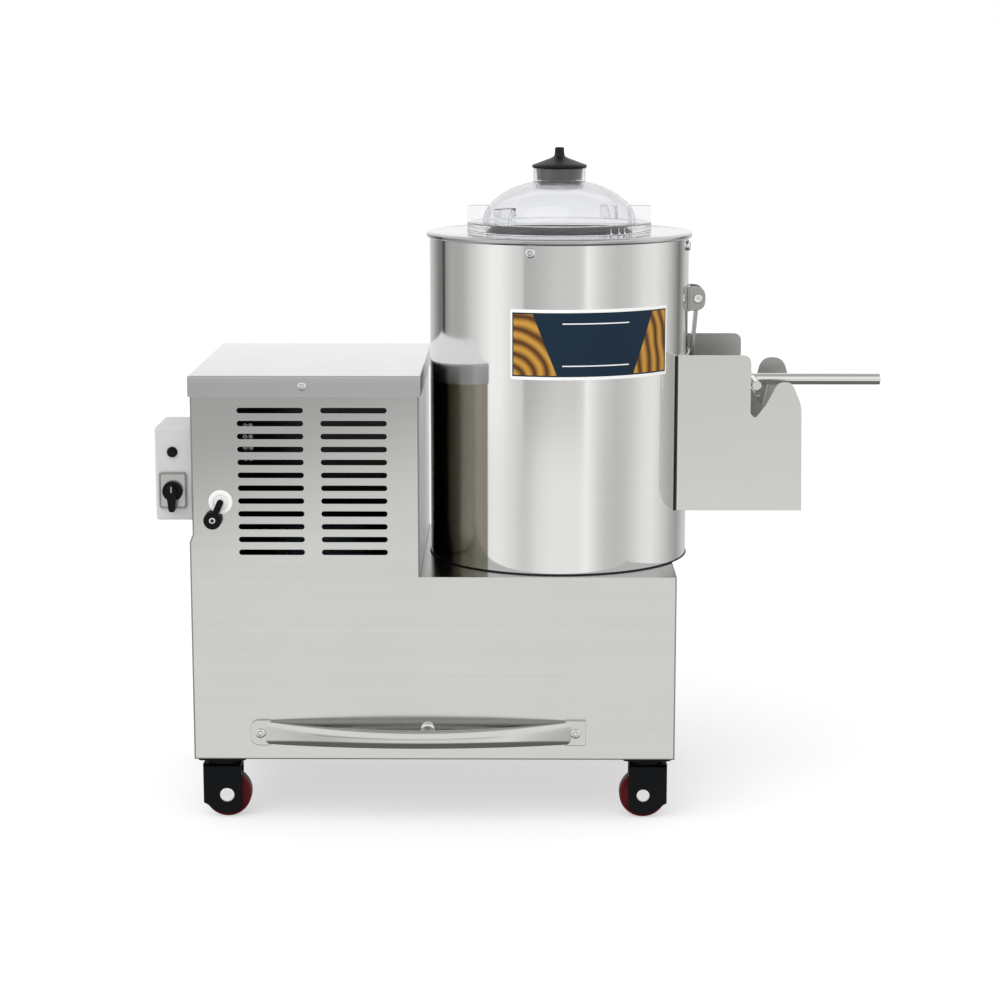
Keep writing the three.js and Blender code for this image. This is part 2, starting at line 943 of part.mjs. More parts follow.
/** A flat key standing off the lock: shank into the keyway, stem and ring-shaped bow. */
function buildKey() {
  const { across, height } = keySwitch;
  const face = -clearance - keySwitch.bezelThickness;
  const bowRear = face - keySwitch.bezelThickness;
  const bowFront = bowRear - keySwitch.bowThickness;
  const shankEnd = bowRear + keySwitch.shankLength;
  const shank = rod(keySwitch.shankRadius, across, height, bowFront, shankEnd, 16);
  const half = keySwitch.stemWidth / 2;
  const stem = outline([
    [across - half, height - keySwitch.stemLength, 0],
    [across + half, height - keySwitch.stemLength, 0],
    [across + half, height + half, half],
    [across - half, height + half, half],
  ]);
  const bow = rod(keySwitch.bowRadius, across, height - keySwitch.stemLength, bowFront, bowRear, 20);
  const hole = rod(
    keySwitch.bowHole, across, height - keySwitch.stemLength, bowFront - overrun, bowRear + overrun, 16,
  );
  const hanging = cut(join(sideways(stem, bowFront, bowRear, 5), bow, shank), hole);
  const leaned = hanging.translate(-across, 0, -height).rotateY(keySwitch.stemLean);
  return piece('lock_key', leaned.translate(across, 0, height), blackPlastic());
}

// Electrical pieces inside the tower

function buildContactor() {
  const left = tower.left + sheet + clearance;
  const right = left + contactor.depth;
  const { bottom, height, stepDepth, stepHeight } = contactor;
  const stepped = outline([
    [left, bottom],
    [right - stepDepth, bottom],
    [right - stepDepth, bottom + stepHeight],
    [right, bottom + stepHeight],
    [right, bottom + height - stepHeight],
    [right - stepDepth, bottom + height - stepHeight],
    [right - stepDepth, bottom + height],
    [left, bottom + height],
  ]);
  const body = sideways(stepped, contactor.front, contactor.front + contactor.width);
  return piece('contactor', body, greyPlastic());
}

function buildCableGland() {
  const rear = cabinet.depth + clearance;
  const nutEnd = rear + gland.nutLength;
  const body = turnedAlongY([
    [gland.bore, rear - gland.stemLength],
    [gland.stemRadius, rear - gland.stemLength],
    [gland.stemRadius, rear],
    [gland.nutRadius, rear],
    [gland.nutRadius, nutEnd],
    [gland.domeRadius, nutEnd],
    [gland.domeRadius, nutEnd + gland.domeLength / 2],
    [gland.stemRadius, nutEnd + gland.domeLength],
    [gland.bore, nutEnd + gland.domeLength],
  ], gland.across, gland.height, 10);
  return piece('cable_gland', body, blackPlastic());
}

// Motor and belt drive

/** A channel that stands in the base pan and carries the motor clear of the belt. */
function buildMotorBracket() {
  const halfLength = motorBracket.length / 2;
  const halfWidth = motorBracket.width / 2;
  const foot = cabinet.underside + sheet + clearance;
  const { top, thickness } = motorBracket;
  const low = [motor.axisX - halfLength, drum.axisY - halfWidth, foot];
  const high = [motor.axisX + halfLength, drum.axisY + halfWidth, top];
  const hollow = block(
    [low[0] - overrun, low[1] + thickness, foot - overrun],
    [high[0] + overrun, high[1] - thickness, top - thickness],
  );
  const hole = post(motorBracket.shaftHole, motor.axisX, drum.axisY, foot, top + overrun);
  return piece('motor_bracket', cut(block(low, high), hollow, hole), machinedSteel());
}

/** The motor's ribbed barrel between two end caps, bored from below for its shaft. */
function buildMotorBody() {
  const { axisX, fins, finHeight, bodyRadius, finWidthShare } = motor;
  const bottom = motorBracket.top + clearance;
  const top = bottom + motor.height;
  const shape = new THREE.Shape();
  const pitch = (2 * Math.PI) / fins;
  for (let fin = 0; fin < fins; fin += 1) {
    const start = fin * pitch;
    const end = start + pitch * finWidthShare;
    const corners = [
      [bodyRadius, start], [bodyRadius + finHeight, start], [bodyRadius + finHeight, end], [bodyRadius, end],
    ];
    corners.forEach(([radius, angle], corner) => {
      const x = axisX + radius * Math.cos(angle);
      const y = drum.axisY + radius * Math.sin(angle);
      if (fin === 0 && corner === 0) shape.moveTo(x, y);
      else shape.lineTo(x, y);
    });
  }
  shape.closePath();
  const barrel = upright(shape, bottom + motor.capHeight, top - motor.capHeight);
  const caps = turned([
    [0, bottom],
    [motor.capRadius, bottom],
    [motor.capRadius, bottom + motor.capHeight],
    [bodyRadius - finHeight, bottom + motor.capHeight],
    [bodyRadius - finHeight, top - motor.capHeight],
    [motor.capRadius, top - motor.capHeight],
    [motor.capRadius, top - motor.capHeight / 2],
    [motor.capRadius - motor.capHeight / 2, top],
    [0, top],
  ], axisX, drum.axisY, 18);
  const socket = post(
    motor.shaftRadius + clearance, axisX, drum.axisY, bottom - overrun, bottom + motor.shaftSocket,
  );
  return piece('motor_body', cut(join(barrel, caps), socket), motorPaint());
}

function buildTerminalBox() {
  const rear = drum.axisY - motor.bodyRadius - motor.finHeight - clearance;
  const bottom = motorBracket.top + motor.terminalRise;
  const half = motor.terminalWidth / 2;
  const box = softBlock(
    [motor.axisX - half, rear - motor.terminalDepth, bottom],
    [motor.axisX + half, rear, bottom + motor.terminalHeight],
    motor.edgeRound,
    1,
  );
  return piece('motor_terminal_box', box, blackPlastic());
}

function buildMotorShaft() {
  const end = motorBracket.top + motor.shaftSocket - motor.shaftEndGap;
  const bar = post(motor.shaftRadius, motor.axisX, drum.axisY, motor.shaftFoot, end);
  return piece('motor_shaft', bar, machinedSteel());
}

/** Vee-groove profile of a pulley, from bore to rim, about the drive's level. */
function pulleyProfile(pitchRadius, boreRadius, webbed) {
  const { level, pulleyWidth, grooveDepth, beltWidth, beltThickness, grooveSlopeShare } = drive;
  const half = pulleyWidth / 2;
  const outer = pitchRadius + beltThickness / 2;
  const mouth = beltWidth / 2 + drive.grooveGap;
  const base = mouth - grooveDepth * grooveSlopeShare;
  const root = outer - grooveDepth;
  const inner = root - drive.rimThickness;
  const web = drive.webThickness;
  const groove = [
    [outer, level - half],
    [outer, level - mouth],
    [root, level - base],
    [root, level + base],
    [outer, level + mouth],
    [outer, level + half],
  ];
  const solid = [[boreRadius, level - half], ...groove, [boreRadius, level + half]];
  const recessed = [
    [boreRadius, level - half],
    ...groove,
    [inner, level + half],
    [inner, level + web - half],
    [drive.hubRadius, level + web - half],
    [drive.hubRadius, level + half],
    [boreRadius, level + half],
  ];
  return webbed ? recessed : solid;
}

function buildPulleys() {
  const driven = turned(
    pulleyProfile(drive.drivenPitchRadius, shaft.radius + clearance, true), drum.axisX, drum.axisY, 20,
  );
  const driving = turned(
    pulleyProfile(motorPitchRadius, motor.shaftRadius + clearance, false), motor.axisX, drum.axisY, 18,
  );
  return {
    driven: piece('driven_pulley', driven, castIron()),
    driving: piece('motor_pulley', driving, castIron()),
  };
}

/** The vee belt: its section carried round both pulleys and along their common tangents. */
function buildBelt() {
  const { drivenPitchRadius, beltWidth, beltThickness, grooveSlopeShare, level } = drive;
  const apart = drum.axisX - motor.axisX;
  const tangent = Math.acos((drivenPitchRadius - motorPitchRadius) / apart);
  const steps = 12;
  const rings = [];
  const halfThick = beltThickness / 2;
  const outerHalf = beltWidth / 2;
  const innerHalf = outerHalf - beltThickness * grooveSlopeShare;
  const section = [
    [halfThick, outerHalf], [halfThick, -outerHalf], [-halfThick, -innerHalf], [-halfThick, innerHalf],
  ];
  const wrap = (centre, pitch, from, to) => {
    for (let step = 0; step <= steps; step += 1) {
      const angle = from + ((to - from) * step) / steps;
      rings.push(section.map(([outward, rise]) => new THREE.Vector3(
        centre + (pitch + outward) * Math.cos(angle),
        drum.axisY + (pitch + outward) * Math.sin(angle),
        level + rise,
      )));
    }
  };
  const reach = Math.PI - tangent;
  wrap(drum.axisX, drivenPitchRadius, -reach, reach);
  wrap(motor.axisX, motorPitchRadius, reach, 2 * Math.PI - reach);
  return piece('drive_belt', loft(rings, true), blackRubber());
}

// Peeling drum

function buildDrumShell() {
  const inner = drum.radius - drum.wall;
  const tube = turned([
    [inner, shellBottom],
    [drum.radius, shellBottom],
    [drum.radius, drum.top],
    [inner, drum.top],
  ], drum.axisX, drum.axisY, drum.facets);
  return piece('drum_shell', cut(tube, outletCutter()), polishedSteel());
}

/** The window in drum wall and liner that the outlet door closes. */
function outletCutter() {
  return block(
    [drum.axisX, drum.axisY - outlet.halfWidth, outlet.sill],
    [drum.axisX + drum.radius + overrun, drum.axisY + outlet.halfWidth, outlet.head],
  );
}

function buildLiner() {
  const sleeve = turned([
    [linerRadius - liner.wall, liner.bottom],
    [linerRadius, liner.bottom],
    [linerRadius, liner.top],
    [linerRadius - liner.wall, liner.top],
  ], drum.axisX, drum.axisY, drum.facets / 2);
  return piece('abrasive_liner', cut(sleeve, outletCutter()), abrasive());
}

/** The wet floor under the disc, sloping to its middle, with a rim and a drain hole. */
function buildDrumFloor() {
  const { height, thickness, rim, fall } = drumFloor;
  const neck = bearing.neckRadius + clearance;
  const dish = turned([
    [neck, height - fall],
    [linerRadius - thickness, height],
    [linerRadius, height],
    [linerRadius, height + rim],
    [linerRadius - thickness, height + rim],
    [linerRadius - thickness, height + thickness],
    [neck, height + thickness - fall],
  ], drum.axisX, drum.axisY, drum.facets / 2);
  const hole = post(
    drain.radius - drain.wall, drum.axisX, drum.axisY + drain.offset, height - overrun, height + overrun,
  );
  return piece('drum_floor', cut(dish, hole), brushedSteel());
}

/** The rolled ring on top of the drum, with a flange that drops inside the wall. */
function buildTopPlate() {
  const { radius, opening, thickness, beadRound, flangeWall, flangeDrop } = topPlate;
  const beadBottom = drum.top + clearance;
  const flangeOuter = linerRadius;
  const ring = turned([
    [opening, plateTop - thickness],
    [flangeOuter - flangeWall, plateTop - thickness],
    [flangeOuter - flangeWall, drum.top - flangeDrop],
    [flangeOuter, drum.top - flangeDrop],
    [flangeOuter, beadBottom],
    [radius - beadRound, beadBottom],
    [radius, beadBottom + beadRound],
    [radius, plateTop - beadRound],
    [radius - beadRound, plateTop],
    [opening, plateTop],
  ], drum.axisX, drum.axisY, drum.facets);
  return piece('drum_top_plate', ring, polishedSteel());
}

/** Height of the disc's waved face above its rim, at a radius and an angle. */
function waveAt(radius, angle) {
  const spread = Math.sin(Math.PI * (radius - disc.hubRadius) / (disc.radius - disc.hubRadius));
  return disc.waveHeight * Math.max(spread, 0) * (1 + Math.cos(disc.waves * angle)) / 2;
}

/** The abrasive turntable: a waved top that tosses the load, bored for the shaft's neck. */
function buildDisc() {
  const bands = 4;
  const bore = shaft.neckRadius + clearance;
  const bottom = disc.top - disc.thickness;
  const stations = [];
  for (let band = 0; band <= bands; band += 1) {
    stations.push(disc.hubRadius + ((disc.radius - disc.hubRadius) * band) / bands);
  }
  const spokes = [];
  for (let facet = 0; facet < disc.facets; facet += 1) {
    const angle = (2 * Math.PI * facet) / disc.facets;
    const at = (radius, height) => new THREE.Vector3(
      drum.axisX + radius * Math.cos(angle), drum.axisY + radius * Math.sin(angle), height,
    );
    const face = stations.map((radius) => at(radius, disc.top + waveAt(radius, angle)));
    spokes.push([at(bore, bottom), at(bore, disc.top), ...face, at(disc.radius, bottom)]);
  }
  return piece('abrasive_disc', loft(spokes, true), abrasive());
}

function buildShaft() {
  const discBottom = disc.top - disc.thickness;
  const bar = turned([
    [0, shaft.foot],
    [shaft.radius, shaft.foot],
    [shaft.radius, discBottom - clearance],
    [shaft.neckRadius, discBottom - clearance],
    [shaft.neckRadius, disc.top],
    [shaft.threadRadius, disc.top],
    [shaft.threadRadius, disc.top + disc.nutHeight / 2],
    [0, disc.top + disc.nutHeight / 2],
  ], drum.axisX, drum.axisY, 16);
  return piece('drive_shaft', bar, machinedSteel());
}

/** The domed nut that holds the disc down on its shaft. */
function buildDiscNut() {
  const foot = disc.top + clearance;
  const bore = shaft.threadRadius + clearance;
  const boreTop = disc.top + disc.nutHeight / 2 + clearance;
  const dome = turned([
    [0, foot],
    [disc.nutRadius, foot],
    [disc.nutRadius, foot + disc.nutHeight / 3],
    [disc.nutRadius * Math.SQRT1_2, foot + disc.nutHeight],
    [0, foot + disc.nutHeight],
  ], drum.axisX, drum.axisY, 6);
  const thread = post(bore, drum.axisX, drum.axisY, foot - overrun, boreTop);
  return piece('disc_nut', cut(dome, thread), machinedSteel());
}

/** Flanged housing under the deck, with a neck that carries the seal above the wet floor. */
function buildBearingHousing() {
  const bore = shaft.radius + clearance;
  const flangeTop = cabinet.deck - sheet - clearance;
  const flangeBottom = flangeTop - bearing.flangeThickness;
  const housing = turned([
    [bore, bearing.barrelBottom],
    [bearing.barrelRadius, bearing.barrelBottom],
    [bearing.barrelRadius, flangeBottom],
    [bearing.flangeRadius, flangeBottom],
    [bearing.flangeRadius, flangeTop],
    [bearing.neckRadius, flangeTop],
    [bearing.neckRadius, bearing.neckTop],
    [bore, bearing.neckTop],
  ], drum.axisX, drum.axisY, 18);
  return piece('bearing_housing', housing, castIron());
}

/** The waste pipe's centre line: down from the floor, one bend, out through the rear panel. */
function drainPath(extra) {
  const x = drum.axisX;
  const y = drum.axisY + drain.offset;
  const top = drumFloor.height - drumFloor.fall - clearance + extra;
  const end = cabinet.depth + drain.reach + extra;
  const path = new THREE.CurvePath();
  const bendStart = new THREE.Vector3(x, y, drain.level + drain.bend);
  const bendEnd = new THREE.Vector3(x, y + drain.bend, drain.level);
  path.add(new THREE.LineCurve3(new THREE.Vector3(x, y, top), bendStart));
  path.add(new THREE.QuadraticBezierCurve3(bendStart, new THREE.Vector3(x, y, drain.level), bendEnd));
  path.add(new THREE.LineCurve3(bendEnd, new THREE.Vector3(x, end, drain.level)));
  return path;
}

function buildDrain() {
  const circle = (radius) => new THREE.Shape().absarc(0, 0, radius, 0, 2 * Math.PI, false);
  const swept = (radius, extra) => new THREE.ExtrudeGeometry(
    circle(radius), { steps: 7, curveSegments: 5, extrudePath: drainPath(extra) },
  );
  const pipe = cut(swept(drain.radius, 0), swept(drain.radius - drain.wall, overrun));
  return piece('drain_outlet', pipe, greyPlastic());
}

// Outlet chute, door and lever

/** A chute cheek in X and Z: tall at the drum, a notch for the lever, a hump and the mouth. */
function cheekOutline(rise, hump) {
  const x = drum.axisX;
  const drumEdge = drumFaceAt(cheekOffset) + clearance;
  return outline([
    [drumEdge, chute.bottom, 0],
    [x + chute.reach, chute.bottom, 0],
    [x + chute.reach - chute.mouthLean, hump.top - chute.mouthDrop, chute.mouthRound],
    [x + hump.outer, hump.top, hump.round],
    [x + hump.inner, hump.top, hump.round],
    [x + chute.rampReach, chute.rampHeight + rise, chute.notchRound],
    [x + chute.notchReach, chute.notchFloor + rise, chute.notchRound],
    [x + chute.shoulderReach, chute.notchShoulder + rise, chute.notchRound / 2],
    [x + chute.shoulderReach, chute.top + rise, chute.shoulderRound],
    [drumEdge, chute.top + rise, 0],
  ]);
}

function buildChute() {
  const front = drum.axisY - cheekOffset;
  const rear = drum.axisY + cheekOffset;
  const frontCheek = sideways(cheekOutline(0, frontHump), front - chute.thickness, front, 4);
  const rearShape = cheekOutline(chute.rearRise, rearHump);
  const rearCheek = sideways(rearShape, rear, rear + chute.thickness, 4);
  const halfFloor = cheekOffset - clearance;
  const against = drum.radius + clearance;
  const angle = Math.asin(halfFloor / against);
  const shape = new THREE.Shape();
  shape.absarc(drum.axisX, drum.axisY, against, angle, -angle, true);
  shape.lineTo(drum.axisX + chute.reach, drum.axisY - halfFloor);
  shape.lineTo(drum.axisX + chute.reach, drum.axisY + halfFloor);
  shape.closePath();
  const floor = upright(shape, chute.bottom, chuteFloorTop, door.facets);
  return [
    piece('chute_front_cheek', frontCheek, brushedSteel()),
    piece('chute_rear_cheek', rearCheek, brushedSteel()),
    piece('chute_floor', floor, brushedSteel()),
  ];
}

/** The curved plate that closes the outlet from outside. */
function buildDoorPlate() {
  const inner = drum.radius + door.gap;
  const bottom = outlet.sill - door.sillLap;
  const top = outlet.head + door.headLap;
  const plate = drumSector(inner, inner + door.thickness, door.halfWidth, bottom, top);
  return piece('door_plate', plate, brushedSteel());
}

/** Two ears on a curved pad on the drum's face, bored for the hinge pin. */
function buildHingeBracket() {
  const { height, earHeight, earReach, earRound, earThickness, earGapHalf } = doorHinge;
  const bottom = height - earHeight / 2;
  const top = height + earHeight / 2;
  const padInner = drum.radius + clearance;
  const padOuter = padInner + doorHinge.padThickness;
  const pad = drumSector(padInner, padOuter, doorHinge.padHalfWidth, bottom, top);
  const root = drumFaceAt(earGapHalf) + doorHinge.padThickness;
  const ear = outline([
    [root, bottom, 0],
    [hingeX + earReach, bottom, earRound],
    [hingeX + earReach, top, earRound],
    [root, top, 0],
  ]);
  const ears = [-earGapHalf - earThickness, earGapHalf].map(
    (offset) => sideways(ear, drum.axisY + offset, drum.axisY + offset + earThickness, 3),
  );
  const reach = earGapHalf + earThickness + overrun;
  const bore = rod(doorHinge.pinRadius + clearance, hingeX, height, drum.axisY - reach, drum.axisY + reach, 16);
  return piece('hinge_bracket', cut(join(pad, ...ears), bore), polishedSteel());
}

function buildHingePin() {
  const half = doorHinge.earGapHalf + doorHinge.earThickness;
  const front = drum.axisY - half - clearance;
  const rear = drum.axisY + half + doorHinge.pinHeadThickness;
  const pin = turnedAlongY([
    [0, front - doorHinge.pinHeadThickness],
    [doorHinge.pinHeadRadius - clearance, front - doorHinge.pinHeadThickness],
    [doorHinge.pinHeadRadius, front],
    [doorHinge.pinRadius, front],
    [doorHinge.pinRadius, rear],
    [0, rear],
  ], hingeX, doorHinge.height, 16);
  return piece('hinge_pin', pin, polishedSteel());
}

/** The strap that hangs the door: an eye on the pin, a lean to the door's face, a flat foot. */
function buildDoorHanger() {
  const { height, strapThickness, strapFoot, strapWidth, eyeRadius } = doorHinge;
  const doorTop = outlet.head + door.headLap;
  const inner = drum.axisX + doorFace + clearance;
  const outer = inner + strapThickness;
  const strap = outline([
    [inner, strapFoot],
    [outer, strapFoot],
    [outer, doorTop],
    [hingeX + strapThickness / 2, height],
    [hingeX - strapThickness / 2, height],
    [inner, doorTop],
  ]);
  const front = drum.axisY - strapWidth / 2;
  const rear = drum.axisY + strapWidth / 2;
  const eye = rod(eyeRadius, hingeX, height, front, rear);
  const bore = rod(doorHinge.pinRadius + clearance, hingeX, height, front - overrun, rear + overrun, 16);
  return piece('door_hanger', cut(join(sideways(strap, front, rear), eye), bore), polishedSteel());
}

/** The lever's clevis on the door: a pad, two rounded ears and the pin across them. */
function buildClevis() {
  const { height, padThickness, padHeight, earHeight, earRound, earThickness } = doorHandle;
  const padInner = drum.axisX + doorFace + clearance;
  const padOuter = padInner + padThickness;
  const gapHalf = doorHandle.eyeWidth / 2 + clearance;
  const half = gapHalf + earThickness;
  const low = height - padHeight / 2;
  const high = height + padHeight / 2;
  const pad = block([padInner, drum.axisY - half, low], [padOuter, drum.axisY + half, high]);
  const ear = outline([
    [padInner + padThickness / 2, height - earHeight / 2, 0],
    [leverX + earRound, height - earHeight / 2, earRound],
    [leverX + earRound, height + earHeight / 2, earRound],
    [padInner + padThickness / 2, height + earHeight / 2, 0],
  ]);
  const ears = [-half, gapHalf].map(
    (offset) => sideways(ear, drum.axisY + offset, drum.axisY + offset + earThickness, 4),
  );
  const pin = rod(doorHandle.pinRadius, leverX, height, drum.axisY - half, drum.axisY + half, 16);
  return piece('door_clevis', join(pad, ...ears, pin), polishedSteel());
}

/** The pointed latch plate welded under the lever's rod, with a hole through it. */
function latchPlate() {
  const { height, rodRadius, latchReach, latchLength, latchDrop, latchRound } = doorHandle;
  const root = height - rodRadius / 2;
  const inner = drum.axisX + latchReach;
  const point = inner + latchLength * doorHandle.latchPointShare;
  const shape = outline([
    [inner, root, 0],
    [point, height - latchDrop, latchRound],
    [inner + latchLength, root, 0],
  ]);
  shape.holes.push(roundHole(inner + latchLength / 2, height - latchDrop / 2, doorHandle.latchHole));
  const half = doorHandle.latchThickness / 2;
  return sideways(shape, drum.axisY - half, drum.axisY + half, 3);
}

/** The lever: an eye on the clevis pin, a rod, the cross-bar welded through it and a latch plate. */
function buildDoorHandle() {
  const { height, rodRadius, rodChamfer, eyeRadius, eyeWidth } = doorHandle;
  const tip = drum.axisX + doorHandle.rodTip;
  const start = leverX + doorHandle.pinRadius + clearance;
  const profile = [
    [0, start],
    [rodRadius, start],
    [rodRadius, tip - rodChamfer],
    [rodRadius - rodChamfer, tip],
    [0, tip],
  ];
  const points = profile.map(([radius, along]) => new THREE.Vector2(radius, along));
  const grip = new THREE.LatheGeometry(points, 20).rotateZ(-Math.PI / 2).translate(0, drum.axisY, height);
  const eye = rod(eyeRadius, leverX, height, drum.axisY - eyeWidth / 2, drum.axisY + eyeWidth / 2);
  const barHalf = cheekOffset - doorHandle.barEndGap;
  const barX = drum.axisX + doorHandle.barReach;
  const bar = rod(doorHandle.barRadius, barX, height, drum.axisY - barHalf, drum.axisY + barHalf, 16);
  const bore = rod(
    doorHandle.pinRadius + clearance, leverX, height, drum.axisY - eyeWidth, drum.axisY + eyeWidth, 16,
  );
  return piece('door_handle', cut(join(eye, grip, bar, latchPlate()), bore), polishedSteel());
}

// Lid and stopper

/** Points along the dome's quarter oval, from its foot to the neck. */
function domeCurve(radius, height, endRadius) {
  const last = Math.acos(endRadius / radius);
  const points = [];
  for (let step = 0; step <= lid.domeSteps; step += 1) {
    const angle = (last * step) / lid.domeSteps;
    points.push([radius * Math.cos(angle), domeBase + height * Math.sin(angle)]);
  }
  return points;
}

function buildLid() {
  const { wall, neckRadius, neckTop, neckFoot, flangeRadius, flangeRound, spigotRadius } = lid;
  const outer = domeCurve(lid.domeRadius, lid.domeHeight, neckRadius);
  const inner = domeCurve(lid.domeRadius - wall, lid.domeHeight - wall, neckRadius).reverse();
  const shell = turned([
    [neckBore, neckFoot],
    [neckRadius, neckFoot],
    ...inner,
    [lid.domeRadius - wall, lidSeat - lid.spigotDepth],
    [spigotRadius, lidSeat - lid.spigotDepth],
    [spigotRadius, lidSeat],
    [flangeRadius, lidSeat],
    [flangeRadius, domeBase - flangeRound],
    [flangeRadius - flangeRound, domeBase],
    ...outer,
    [neckRadius, neckTop],
    [neckBore, neckTop],
  ], drum.axisX, drum.axisY, lid.facets);
  const lugs = lid.lugAngles.map((degrees) => {
    const low = [lid.lugInner, -lid.lugWidth / 2, domeBase - flangeRound];
    const high = [flangeRadius - clearance, lid.lugWidth / 2, domeBase + lid.lugHeight];
    const lug = block(low, high).rotateZ(THREE.MathUtils.degToRad(degrees));
    return lug.translate(drum.axisX, drum.axisY, 0);
  });
  return piece('lid', join(shell, ...lugs), clearPlastic());
}

/** The soft plug in the lid's filling neck, with a brim, a cone and a nub to pull it by. */
function buildStopper() {
  const seat = lid.neckTop + clearance;
  const plugTop = neckBore - stopper.plugGap;
  const plugFoot = plugTop - stopper.plugTaper;
  const foot = seat - stopper.plugDepth;
  const { brimRadius, brimThickness, coneTop, plugWall } = stopper;
  const plug = turned([
    [0, seat],
    [plugTop - plugWall, seat],
    [plugFoot - plugWall, foot],
    [plugFoot, foot],
    [plugTop, seat],
    [brimRadius - brimThickness / 3, seat],
    [brimRadius, seat + brimThickness / 3],
    [brimRadius, seat + brimThickness],
    [(brimRadius + stopper.nubRootRadius) / 2, (seat + brimThickness + coneTop) / 2 + brimThickness / 3],
    [stopper.nubRootRadius, coneTop],
    [stopper.nubRadius, stopper.nubTop - brimThickness / 3],
    [stopper.nubRadius - brimThickness / 3, stopper.nubTop],
    [0, stopper.nubTop],
  ], drum.axisX, drum.axisY, 18);
  return piece('lid_stopper', plug, blackRubber());
}

// Castors

/** Fork outline in X and Z about the swivel axis, wheel trailing towards +X. */
function forkOutline() {
  const { trail, cheekLead, cheekTrail, cheekSkirt, cheekToe, crownTop } = castor;
  const round = axleHeight - cheekToe;
  const shape = new THREE.Shape();
  shape.moveTo(-cheekLead, crownTop);
  shape.lineTo(-cheekLead, cheekSkirt);
  shape.absarc(trail, axleHeight, round, -0.7 * Math.PI, -Math.PI / 4, false);
  shape.lineTo(cheekTrail, axleHeight);
  shape.lineTo(cheekTrail, crownTop);
  shape.closePath();
  return shape;
}

function buildCastor(corner, x, y, facing) {
  const half = castor.wheelWidth / 2;
  const inner = half + castor.cheekGap;
  const outer = inner + castor.cheekThickness;
  const blank = sideways(forkOutline(), -outer, outer, 3);
  const slot = block(
    [-castor.cheekLead - overrun, -inner, -overrun],
    [castor.cheekTrail + overrun, inner, castor.crownTop - castor.crownThickness],
  );
  const axle = turnedAlongY([
    [0, -outer - castor.axleHeadThickness],
    [castor.axleHeadRadius - castor.axleHeadThickness / 2, -outer - castor.axleHeadThickness],
    [castor.axleHeadRadius, -outer],
    [castor.axleRadius, -outer],
    [castor.axleRadius, outer + castor.axleHeadThickness],
    [0, outer + castor.axleHeadThickness],
  ], castor.trail, axleHeight, 12);
  const fork = piece(`castor_fork_${corner}`, join(cut(blank, slot), axle), blackPaint());

  const wheel = piece(`castor_wheel_${corner}`, castorWheel(), redPolyurethane());
  wheel.position.set(castor.trail, 0, axleHeight);
  wheel.rotation.y = Math.PI / castor.facets;

  const plateTopHeight = cabinet.underside - clearance;
  const plateFoot = plateTopHeight - castor.plateThickness;
  const side = castor.plateSize / 2;
  const square = outline([
    [-side, -side, castor.plateRound],
    [side, -side, castor.plateRound],
    [side, side, castor.plateRound],
    [-side, side, castor.plateRound],
  ]);
  const race = turned([
    [0, castor.crownTop + clearance],
    [castor.raceFootRadius, castor.crownTop + clearance],
    [castor.raceTopRadius, plateFoot + castor.plateThickness / 2],
    [0, plateFoot + castor.plateThickness / 2],
  ], 0, 0, 16);
  const mount = join(upright(square, plateFoot, plateTopHeight, 2), race);
  const plate = piece(`castor_plate_${corner}`, mount, blackPaint());

  const group = new THREE.Group();
  group.add(plate, fork, wheel);
  group.position.set(x, y, 0);
  group.rotation.z = facing;
  return group;
}

/** A solid wheel on its own axis along Y: crowned tyre, dished web and a proud hub. */
function castorWheel() {
  const half = castor.wheelWidth / 2;
  const flat = castor.treadFlat / 2;
  const { wheelRadius, rimRadius, hubRadius, webRecess } = castor;
  const bore = castor.axleRadius + clearance;
  return turnedAlongY([
    [bore, -half],
    [hubRadius, -half],
    [rimRadius, webRecess - half],
    [wheelRadius, -flat],
    [wheelRadius, flat],
    [rimRadius, half - webRecess],
    [hubRadius, half],
    [bore, half],
  ], 0, 0, castor.facets);
}

function buildCastors() {
  const left = castor.inset;
  const right = cabinet.width - castor.inset;
  const front = castor.insetDepth;
  const rear = cabinet.depth - castor.insetDepth;
  return [
    buildCastor('front_left', left, front, 0),
    buildCastor('front_right', right, front, Math.PI),
    buildCastor('rear_left', left, rear, 0),
    buildCastor('rear_right', right, rear, Math.PI),
  ];
}

// The whole machine

function buildPeeler() {
  const machine = new THREE.Group();
  const pulleys = buildPulleys();
  machine.add(
    buildFrontPanel(), buildRearPanel(), ...buildSidePanels(), buildTowerInnerPanel(), buildDeck(),
    buildBasePan(), buildTowerCover(), buildFrontHandle(),
  );
  machine.add(
    buildControlBox(), buildSwitchPlate(), buildSwitchBody(), buildKnob(), ...buildStartButton(),
    ...buildKeySwitch(), buildKey(), buildContactor(), buildCableGland(),
  );
  machine.add(
    buildMotorBracket(), buildMotorBody(), buildTerminalBox(), buildMotorShaft(),
    pulleys.driven, pulleys.driving, buildBelt(),
  );
  machine.add(
    buildDrumShell(), buildLiner(), buildDrumFloor(), buildTopPlate(), buildDisc(), buildShaft(),
    buildDiscNut(), buildBearingHousing(), buildDrain(),
  );
  machine.add(
    ...buildChute(), buildDoorPlate(), buildHingeBracket(), buildHingePin(), buildDoorHanger(),
    buildClevis(), buildDoorHandle(), buildLid(), buildStopper(), ...buildCastors(),
  );
  const box = new THREE.Box3().setFromObject(machine, true);
  const middle = box.getCenter(new THREE.Vector3());
  machine.position.set(-middle.x, -middle.y, -box.min.z);
  return machine;
}

const group = new THREE.Group();
group.add(buildPeeler());

export default group;
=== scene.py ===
"""Electric potato peeler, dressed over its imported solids.

Sizes in the classes are in millimetres, measured as the machine's maker would: from the
cabinet's left front edge on the floor, +X to the outlet chute, +Y to the rear, +Z up.
`to_row` turns them into metres about the middle of the footprint.
"""

import logging
import math
from dataclasses import dataclass, field, replace
from enum import Enum
from typing import Sequence

